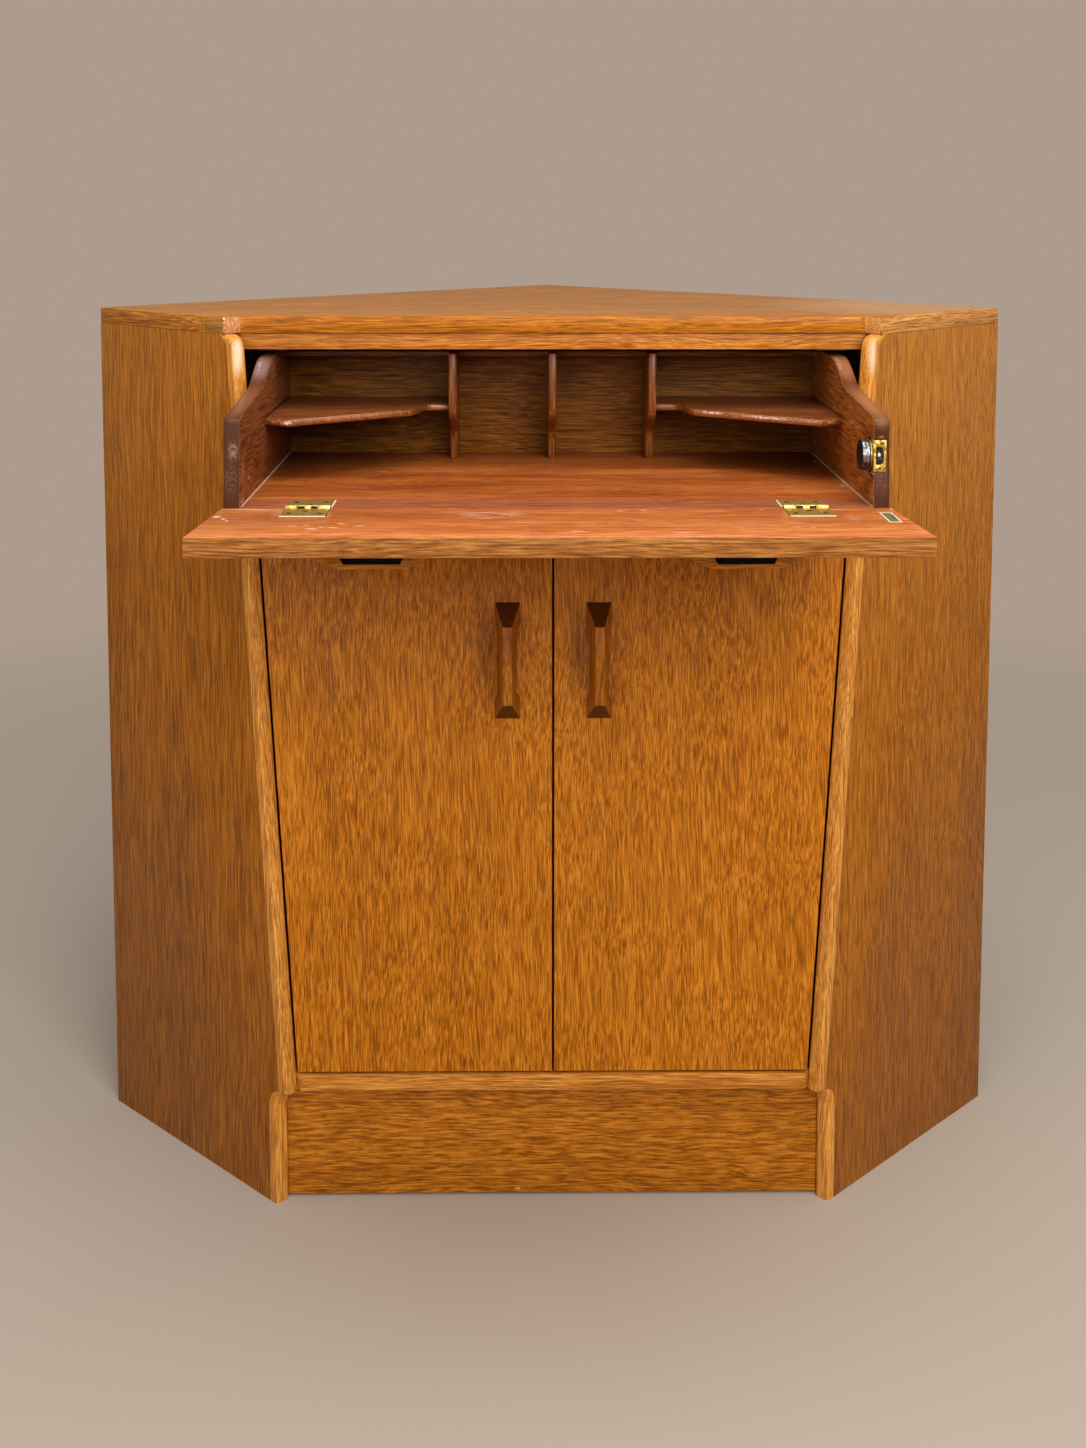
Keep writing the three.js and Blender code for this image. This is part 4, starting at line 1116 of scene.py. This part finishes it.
@dataclass
class Flap:
    """The fall flap: mahogany inside, oak outside, with two pulls and a strike plate."""

    ease_mm: float = 0.6
    pull_ease_mm: float = 0.5
    pull_sharp_deg: float = 18.0
    lining_mm: float = 0.3
    well_mm: Pair = (6.4, 18.4)
    well_spot_mm: Pair = (-0.1, -1.0)
    well_rim_mm: float = 0.35
    well_wall_mm: float = 0.3
    frame_mm: Pair = (1.5, 2.6)
    pocket_mm: Quad = (31.5, 2.0, 0.5, 3.4)

    def build(self) -> None:
        """Dresses the flap."""
        self.board()
        for hand in HANDS:
            self.pull(f"flap_pull_{hand}")
        self.strike()
        self.strike_well()
        log.info("flap dressed")

    def board(self) -> None:
        """Dresses the flap in three woods: weathered edges, a mahogany inner face and an oak outer face."""
        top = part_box("flap_board")[1].z
        piece = soften("flap_board", FLAP_OAK.cut(Grain.ACROSS), self.ease_mm)
        accent(piece, FLAP_LINING.cut(Grain.ACROSS, self.marks(top / MM)),
               lambda face: face.normal.z > SQUARE and face.center.z > top - self.lining_mm * MM)
        accent(piece, OAK.cut(Grain.ACROSS), lambda face: face.normal.z < -SQUARE)

    def pull(self, node: str) -> None:
        """Dresses a pull and darkens its finger pocket with painted shade.

        Args:
            node: The pull's name.
        """
        piece = soften(node, OAK.cut(Grain.ACROSS), self.pull_ease_mm, sharp_deg=self.pull_sharp_deg)
        low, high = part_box(node)
        half, lip, gap, depth = (size * MM for size in self.pocket_mm)
        middle = (low.x + high.x) / 2
        near, far = (middle - half, low.y + depth, low.z + lip), (middle + half, math.inf, high.z - gap)
        accent(piece, SHADE, lambda face: inside(face.center, near, far) and face.normal.y < TURNED)

    def strike(self) -> None:
        """Copies the strike and parts its face into a frame painted pale as a highlight and a tarnished
        middle.
        """
        low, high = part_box("strike_plate")
        wide, deep = (size * MM for size in self.frame_mm)
        bm = merged_copy("strike_plate")
        for x in (low.x + wide, high.x - wide):
            split(bm, (x, 0, 0), (1, 0, 0))
        for y in (low.y + deep, high.y - deep):
            split(bm, (0, y, 0), (0, 1, 0))
        plate = settle("strike_plate_finished", bm, STRIKE, "flap")
        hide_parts("strike_plate")
        near, far = (low.x + wide, low.y + deep, -math.inf), (high.x - wide, high.y - deep, math.inf)
        accent(plate, TARNISH, lambda face: inside(face.center, near, far))

    def strike_well(self) -> None:
        """Lines the strike's slot with tarnished metal, a little below its face."""
        low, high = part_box("strike_plate")
        middle = (low + high) / 2
        wide, long = (size * MM for size in self.well_mm)
        aside, down = (shift * MM for shift in self.well_spot_mm)
        bm = bmesh.new()
        bmesh.ops.create_grid(bm, x_segments=4, y_segments=10, size=0.5)
        bmesh.ops.scale(bm, verts=bm.verts, vec=(wide, long, 1.0))
        rim = [v for v in bm.verts if v.is_boundary]
        bmesh.ops.translate(bm, verts=rim, vec=(0, 0, self.well_rim_mm * MM))
        bmesh.ops.solidify(bm, geom=bm.faces[:], thickness=self.well_wall_mm * MM)
        bmesh.ops.recalc_face_normals(bm, faces=bm.faces)
        spot = Vector((middle.x + aside, middle.y, high.z + down))
        bmesh.ops.translate(bm, verts=bm.verts, vec=spot)
        settle("strike_well", bm, TARNISH, "flap")

    def marks(self, top: float) -> tuple[Mark, ...]:
        """Lays the chips, scratches and haze on the flap's inner face.

        Args:
            top: Height of the face in millimetres.

        Returns:
            The marks.
        """
        return (
            Mark((-262, -404, top), (95, 62, 8), "9A6236", 0.35, 0.0),
            *(Mark((x, y, top), (a, b, 3), "FBF4EA", 1.0, 1.6) for x, y, a, b in FLAP_CHIPS),
            *(Mark((x, y, top), (a, b, 3), "F6DCC6", 0.8, 0.0, turn) for x, y, a, b, turn in FLAP_SCRATCHES),
            *(Mark((x, y, top), (a, b, 3), "E2B08C", share, 2.4) for x, y, a, b, share in FLAP_HAZE),
        )


@dataclass
class Hardware:
    """Brass hinges and the lock with their screws, slots and turned rings."""

    leaf_ease_mm: float = 0.15
    leaf_sharp_deg: float = 60.0
    leaf_rise_mm: float = 0.35
    barrel_rise_mm: float = 0.45
    knuckle_slot_mm: Pair = (2.6, 8.6)
    knuckle_depth_mm: Pair = (1.2, 0.3)
    knuckle_facing: Pair = (0.05, 0.75)
    slot_slack_mm: float = 0.1
    slot_foot_mm: float = 0.6
    slot_floor_mm: Spot = (0.4, 2.2, 2.45)
    slot_facing: float = 0.8
    screw_spots_mm: tuple[Pair, ...] = ((-12.5, 26.0), (0.0, 15.0), (12.5, 26.0))
    screw_rise_mm: float = 0.3
    screw_turn_deg: Pair = (35.0, 50.0)
    filler_mm: Spot = (1.1, 1.3, 0.45)
    filler_run_mm: float = 34.0
    filler_gap_mm: float = 0.1
    drum_profile_mm: tuple[Pair, ...] = (
        (0.0, 0.0), (9.0, 0.0), (10.0, 0.4), (12.0, 0.5), (13.0, 0.9), (13.5, 1.7), (13.5, 3.8),
        (13.1, 4.0), (13.1, 4.5), (13.5, 4.7), (13.5, 7.0), (12.7, 7.3), (12.7, 8.1), (13.3, 8.3),
        (13.3, 9.7), (12.4, 10.0), (12.4, 12.2), (0.0, 12.2))
    drum_steps: int = 48
    drum_round_deg: float = 24.0
    band_mm: Pair = (2.2, 7.1)
    ring_mm: Pair = (8.15, 9.8)
    forend_ease_mm: float = 0.2
    forend_mm: float = 1.5
    forend_lean: float = 0.0668
    lock_screws_mm: tuple[tuple[str, float, float, float], ...] = (
        ("upper", 7.3, -3.0, 1.9), ("lower", 5.5, -24.0, 1.3))
    lock_screw_turn_deg: float = 20.0
    mouth_mm: Quad = (2.25, 5.45, 3.25, 7.42)
    mouth_middle_mm: float = -13.48
    mouth_depth_mm: Pair = (0.95, 0.4)
    mouth_span_mm: Quad = (1.6, 9.6, -22.0, -5.0)
    mouth_steps: int = 12
    bolt_hole_mm: Quad = (3.35, 7.65, -18.95, -8.9)
    stud_mm: Spot = (1.3, 1.0, 0.9)
    stud_spot_mm: Spot = (1.4, 0.1, 1.2)
    stud_ease_mm: float = 0.2
    stud_sharp_deg: float = 45.0
    stud_stretch: float = 1.5

    def build(self) -> None:
        """Dresses the metalwork."""
        for hand in HANDS:
            self.rub(soften(f"hinge_desk_leaf_{hand}", BRASS, self.leaf_ease_mm,
                            sharp_deg=self.leaf_sharp_deg))
            self.flap_leaf(hand)
            dress(f"hinge_pin_{hand}", BLACK_STEEL)
            self.hinge_screws(hand)
            self.hinge_filler(hand)
        self.lock_drum()
        self.lock_front()
        log.info("hardware dressed")

    def desk_top(self, above_mm: float = 0.0) -> float:
        """Gives a height above the desk's face."""
        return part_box("desk_board")[1].z + above_mm * MM

    def pin_y(self, hand: str) -> float:
        """Gives the place of a hinge's pin along Y."""
        low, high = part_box(f"hinge_pin_{hand}")
        return (low.y + high.y) / 2

    def rub(self, leaf: Piece) -> None:
        """Brightens the barrel of a hinge leaf, which stands above its plate."""
        plate = self.desk_top(self.barrel_rise_mm)
        accent(leaf, RUBBED_BRASS, lambda face: face.center.z > plate)

    def flap_leaf(self, hand: str) -> None:
        """Copies the flap's leaf and sinks two dark slots into the front of its knuckle.

        Args:
            hand: Which hinge.
        """
        node = f"hinge_flap_leaf_{hand}"
        bm = merged_copy(node)
        low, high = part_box(node)
        middle, axis_y, plate = (low.x + high.x) / 2, self.pin_y(hand), self.desk_top(self.leaf_rise_mm)
        near, far = (reach * MM for reach in self.knuckle_slot_mm)
        for aside in (-far, -near, near, far):
            split(bm, (middle + aside, 0, 0), (1, 0, 0))
        bm.normal_update()
        level, steep = self.knuckle_facing
        picked = []
        for face in bm.faces:
            spot, away = face.calc_center_median(), face.normal
            ahead = away.y < -TURNED and level < away.z < steep
            if near < abs(spot.x - middle) < far and spot.z > plate and ahead:
                picked.append(face)
        back, down = (depth * MM for depth in self.knuckle_depth_mm)
        for side in (-1, 1):
            group = [f for f in picked if f.is_valid and (f.calc_center_median().x - middle) * side > 0]
            if group:
                sink(bm, group, Vector((0, back, -down)))
        leaf = settle(f"{node}_finished", bm, BRASS, "flap")
        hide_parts(node)
        self.rub(leaf)
        # The knuckle's slots are lined with painted shade
        accent(leaf, SHADE, lambda face: self.in_slot(face, middle, axis_y, plate))

    def in_slot(self, face: Polygon, middle: float, axis_y: float, plate: float) -> bool:
        """Tells whether a face lines one of the knuckle's slots.

        Args:
            face: The face.
            middle: The hinge's middle along X.
            axis_y: The pin's place along Y.
            plate: Height of the leaf's face.

        Returns:
            True inside a slot.
        """
        near, far = (reach * MM for reach in self.knuckle_slot_mm)
        slack, foot = self.slot_slack_mm * MM, self.slot_foot_mm * MM
        first, floor, last = self.slot_floor_mm
        aside = abs(face.center.x - middle)
        ahead = (axis_y - face.center.y) / MM
        held = near - slack < aside < far + slack and face.center.z > plate - foot
        deep = first < ahead < min(last, floor + face.normal.z)
        return held and deep and face.normal.z < self.slot_facing

    def hinge_screws(self, hand: str) -> None:
        """Sets three screws in each leaf of a hinge.

        Args:
            hand: Which hinge.
        """
        low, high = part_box(f"hinge_desk_leaf_{hand}")
        middle, axis_y, top = (low.x + high.x) / 2, self.pin_y(hand), self.desk_top(self.screw_rise_mm)
        first, step = self.screw_turn_deg
        for part, body, way in (("desk", "writing_slide", 1), ("flap", "flap", -1)):
            heads = []
            for count, (aside, back) in enumerate(self.screw_spots_mm):
                place = Matrix.Translation((middle + aside * MM, axis_y + way * back * MM, top))
                heads.append(Screw().head(place, first + step * count))
            settle(f"hinge_screws_{part}_{hand}", joined(heads), DARK_BRASS, body)

    def hinge_filler(self, hand: str) -> None:
        """Lays the pale line of filler along two open edges of a hinge's leaves.

        Args:
            hand: Which hinge.
        """
        desk_low, desk_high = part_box(f"hinge_desk_leaf_{hand}")
        top = self.desk_top()
        inner, outer = (desk_high.x, desk_low.x) if hand == "left" else (desk_low.x, desk_high.x)
        way = 1 if hand == "left" else -1
        wide, deep, tall = (size * MM for size in self.filler_mm)
        beside = inner + way * self.filler_gap_mm * MM
        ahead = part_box(f"hinge_flap_leaf_{hand}")[0].y - self.filler_gap_mm * MM
        rear = desk_high.y - self.filler_run_mm * MM
        lines = (("desk", "writing_slide", (beside, rear), (beside, desk_high.y), (way * wide, 0, 0)),
                 ("flap", "flap", (outer, ahead), (inner, ahead), (0, -deep, 0)))
        for part, body, start, end, across in lines:
            line = bead(Vector((*start, top)), Vector((*end, top)), Vector(across), Vector((0, 0, tall)))
            settle(f"hinge_filler_{part}_{hand}", line, STRIKE, body)

    def lock_drum(self) -> None:
        """Turns the lock's drum: a hammered cap, a polished band, a groove and a brass ring."""
        low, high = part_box("lock_case")
        centre = Vector((low.x, (low.y + high.y) / 2, (low.z + high.z) / 2))
        bm = bmesh.new()
        profile = [Vector((along, 0, away)) * MM for away, along in self.drum_profile_mm]
        points = [bm.verts.new(centre + spot) for spot in profile]
        edges = [bm.edges.new(pair) for pair in zip(points, points[1:])]
        bmesh.ops.spin(bm, geom=points + edges, cent=centre, axis=(1, 0, 0), dvec=(0, 0, 0), angle=math.tau,
                       steps=self.drum_steps, use_merge=True)
        bmesh.ops.remove_doubles(bm, verts=bm.verts, dist=WELD_MM * MM)
        bmesh.ops.recalc_face_normals(bm, faces=bm.faces)
        drum = settle("lock_drum", bm, BLACK_STEEL, "writing_slide", self.drum_round_deg)
        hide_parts("lock_case")
        for finish, (near, far) in ((STEEL, self.band_mm), (RUBBED_BRASS, self.ring_mm)):
            accent(drum, finish, lambda face: near * MM < face.center.x - centre.x < far * MM)

    def lock_front(self) -> None:
        """Dresses the forend: dark mouth, two screws and the bright tip of the bolt."""
        low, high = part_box("lock_forend")
        corner = Vector((low.x, high.y - self.forend_mm * MM, high.z))
        plate = soften("lock_forend", LOCK_BRASS, self.forend_ease_mm)
        left, right, foot, head = (size * MM for size in self.mouth_span_mm)
        near, far = (left, -math.inf, foot), (right, math.inf, head)
        accent(plate, SHADE,
               lambda face: inside(face.center - corner, near, far) and abs(face.normal.y) < TURNED)
        facing = Matrix.Rotation(math.radians(90), 4, "X")
        for name, x, z, radius in self.lock_screws_mm:
            spot = corner + Vector((x, self.forend_lean * z, z)) * MM
            screw = Screw(radius, slot_mm=0.5, slot_depth_mm=0.45)
            head = screw.head(Matrix.Translation(spot) @ facing, self.lock_screw_turn_deg)
            settle(f"lock_screw_{name}", head, DARK_BRASS, "writing_slide")
        self.mouth_floor(corner)
        self.bolt_stud()

    def mouth_floor(self, corner: Vector) -> None:
        """Closes the forend's mouth with a sheet of painted shade, open where the bolt comes through.

        Args:
            corner: Upper left corner of the forend's face.
        """
        left, straight, bulge, half = self.mouth_mm
        turns = [math.radians(90 - 180 * step / self.mouth_steps) for step in range(self.mouth_steps + 1)]
        arc = [(straight + bulge * math.cos(t), self.mouth_middle_mm + half * math.sin(t)) for t in turns]
        mouth = [(left, self.mouth_middle_mm + half), *arc, (left, self.mouth_middle_mm - half)]
        x0, x1, z0, z1 = self.bolt_hole_mm
        depth, wall = self.mouth_depth_mm
        bm = bmesh.new()
        rings = []
        for outline in (mouth, [(x0, z0), (x1, z0), (x1, z1), (x0, z1)]):
            spots = [Vector((x, depth + self.forend_lean * z, z)) * MM for x, z in outline]
            ring = [bm.verts.new(corner + spot) for spot in spots]
            rings += [bm.edges.new(pair) for pair in zip(ring, ring[1:] + ring[:1])]
        bmesh.ops.triangle_fill(bm, edges=rings, use_beauty=True, normal=(0, -1, 0))
        push(bm, bm.faces[:], Vector((0, wall * MM, 0)))
        bmesh.ops.recalc_face_normals(bm, faces=bm.faces)
        settle("lock_mouth", bm, SHADE, "writing_slide")

    def bolt_stud(self) -> None:
        """Dresses the catch bolt and gives it a small bright stud."""
        dress("lock_bolt", BLACK_STEEL)
        low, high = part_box("lock_bolt")
        foot, tip, tall = (size * MM for size in self.stud_mm)
        bm = bmesh.new()
        bmesh.ops.create_cone(bm, cap_ends=True, segments=16, radius1=foot, radius2=tip, depth=tall)
        ease(bm, open_edges(bm, (), self.stud_sharp_deg), self.stud_ease_mm)
        bmesh.ops.scale(bm, verts=bm.verts, vec=(1.0, self.stud_stretch, 1.0))
        spot = Vector((low.x, low.y, (low.z + high.z) / 2)) + Vector(self.stud_spot_mm) * MM
        turn = Matrix.Translation(spot) @ Matrix.Rotation(math.radians(90), 4, "X")
        bmesh.ops.transform(bm, matrix=turn, verts=bm.verts)
        settle("bolt_stud", bm, STRIKE, "catch_bolt")


@dataclass
class Studio:
    """Pale floor, soft lights and the camera of the photograph."""

    camera_mm: Spot = (-30.0, -1808.1, 975.05)
    yaw_deg: float = -0.693
    pitch_deg: float = 5.4988
    roll_deg: float = 0.0751
    focal_px: float = 1749.9
    centre_y_px: float = 364.6
    image_px: tuple[int, int] = (1086, 1448)
    sensor_mm: float = 36.0
    backdrop: str = "AD9C8E"
    floor_tone: str = "B4A89C"
    floor_shade: str = "A09488"
    floor_radius_m: float = 9.0
    floor_grain_mm: float = 3.84615
    floor_shares: Pair = (0.0, 0.1)
    floor_roughness: float = 0.85
    floor_gloss: float = 0.2
    melt_m: Pair = (0.75, 2.4)
    sky_tone: str = "FFF6EC"
    sky_strength: float = 0.24
    aim_height_m: float = 0.5
    lamps: tuple[tuple[str, Spot, float, float, Spot], ...] = (
        ("key_box", (0.9, -3.1, 2.1), 1.7, 78.0, (1.0, 0.97, 0.92)),
        ("fill_box", (-1.3, -3.2, 1.3), 2.0, 22.0, (1.0, 0.97, 0.94)),
        ("top_box", (0.2, -0.9, 3.2), 2.2, 74.0, (1.0, 0.97, 0.93)))
    clip_m: Pair = (0.05, 60.0)

    def build(self) -> None:
        """Sets up floor, world, lights and camera."""
        self.floor()
        self.world()
        for row in self.lamps:
            self.lamp(*row)
        self.camera()
        log.info("studio ready")

    def floor(self) -> None:
        """Makes a round floor that melts into the backdrop colour far from the cupboard."""
        bm = bmesh.new()
        bmesh.ops.create_circle(bm, cap_ends=True, segments=96, radius=self.floor_radius_m)
        material, tree = blank("studio_floor")
        place = add(tree, "TexCoord").outputs["Object"]
        away = add(tree, "VectorMath", {0: place}, operation="LENGTH").outputs["Value"]
        cloud = speckle(tree, place, self.floor_grain_mm, detail=3.0)
        clouded = ramped(tree, cloud, 0.3, 0.7, *self.floor_shares)
        tone = blend(tree, clouded, linear(self.floor_tone), linear(self.floor_shade))
        matt = add(tree, "BsdfPrincipled", {"Base Color": tone, "Roughness": self.floor_roughness,
                                            "Specular IOR Level": self.floor_gloss})
        glow = add(tree, "Emission", {"Color": linear(self.backdrop), "Strength": 1.0})
        seen = add(tree, "LightPath").outputs["Is Camera Ray"]
        share = maths(tree, "MULTIPLY", ramped(tree, away, *self.melt_m), seen)
        mixed = add(tree, "MixShader", {0: share, 1: matt.outputs[0], 2: glow.outputs[0]})
        add(tree, "OutputMaterial", {"Surface": mixed.outputs[0]})
        placed("floor", bm, material)

    def world(self) -> None:
        """Gives the surroundings an even light, and the backdrop colour where they are seen."""
        world = bpy.data.worlds.new("studio")
        bpy.context.scene.world = world
        world.use_nodes = True
        tree = world.node_tree
        tree.nodes.clear()
        path = add(tree, "LightPath").outputs
        mirrored = maths(tree, "MAXIMUM", path["Is Glossy Ray"], path["Is Transmission Ray"])
        seen = maths(tree, "MAXIMUM", path["Is Camera Ray"], mirrored)
        soft = add(tree, "Background", {"Color": linear(self.sky_tone), "Strength": self.sky_strength})
        shown = add(tree, "Background", {"Color": linear(self.backdrop), "Strength": 1.0})
        mixed = add(tree, "MixShader", {0: seen, 1: soft.outputs[0], 2: shown.outputs[0]})
        add(tree, "OutputWorld", {"Surface": mixed.outputs[0]})

    def lamp(self, name: str, place: Spot, size: float, power: float, colour: Spot) -> None:
        """Adds one soft box that faces the cupboard.

        Args:
            name: The lamp's name.
            place: Where it stands, in metres.
            size: Side of the square box, in metres.
            power: Power in watts.
            colour: Its colour.
        """
        light = bpy.data.lights.new(name, "AREA")
        light.shape = "SQUARE"
        light.size = size
        light.energy = power
        light.color = colour
        box = bpy.data.objects.new(name, light)
        box.location = place
        aim = Vector((0.0, 0.0, self.aim_height_m)) - Vector(place)
        box.rotation_euler = aim.to_track_quat("-Z", "Y").to_euler()
        bpy.context.scene.collection.objects.link(box)

    def camera(self) -> None:
        """Places the camera where the photograph was taken from."""
        cam = bpy.data.cameras.new("camera")
        long_side = max(self.image_px)
        cam.sensor_width = self.sensor_mm
        cam.lens = self.focal_px * self.sensor_mm / long_side
        cam.shift_y = (self.centre_y_px - self.image_px[1] / 2) / long_side
        cam.clip_start, cam.clip_end = self.clip_m
        holder = bpy.data.objects.new("camera", cam)
        bpy.context.scene.collection.objects.link(holder)
        yaw, pitch, roll = (math.radians(a) for a in (-self.yaw_deg, self.pitch_deg, self.roll_deg))
        right, forward, up = (Matrix.Rotation(roll, 3, "Y") @ Matrix.Rotation(pitch, 3, "X")
                              @ Matrix.Rotation(yaw, 3, "Z"))
        turn = Matrix((right, up, -forward)).transposed().to_4x4()
        holder.matrix_world = Matrix.Translation(Vector(self.camera_mm) * MM) @ turn
        bpy.context.scene.camera = holder
        bpy.context.scene.view_settings.view_transform = "Standard"


def main() -> None:
    """Builds the scene part by part."""
    logging.basicConfig(level=logging.INFO, format="%(name)s: %(message)s")
    Studio().build()
    Case().build()
    Doors().build()
    WritingSlide().build()
    Flap().build()
    Hardware().build()


if __name__ == "__main__":
    main()
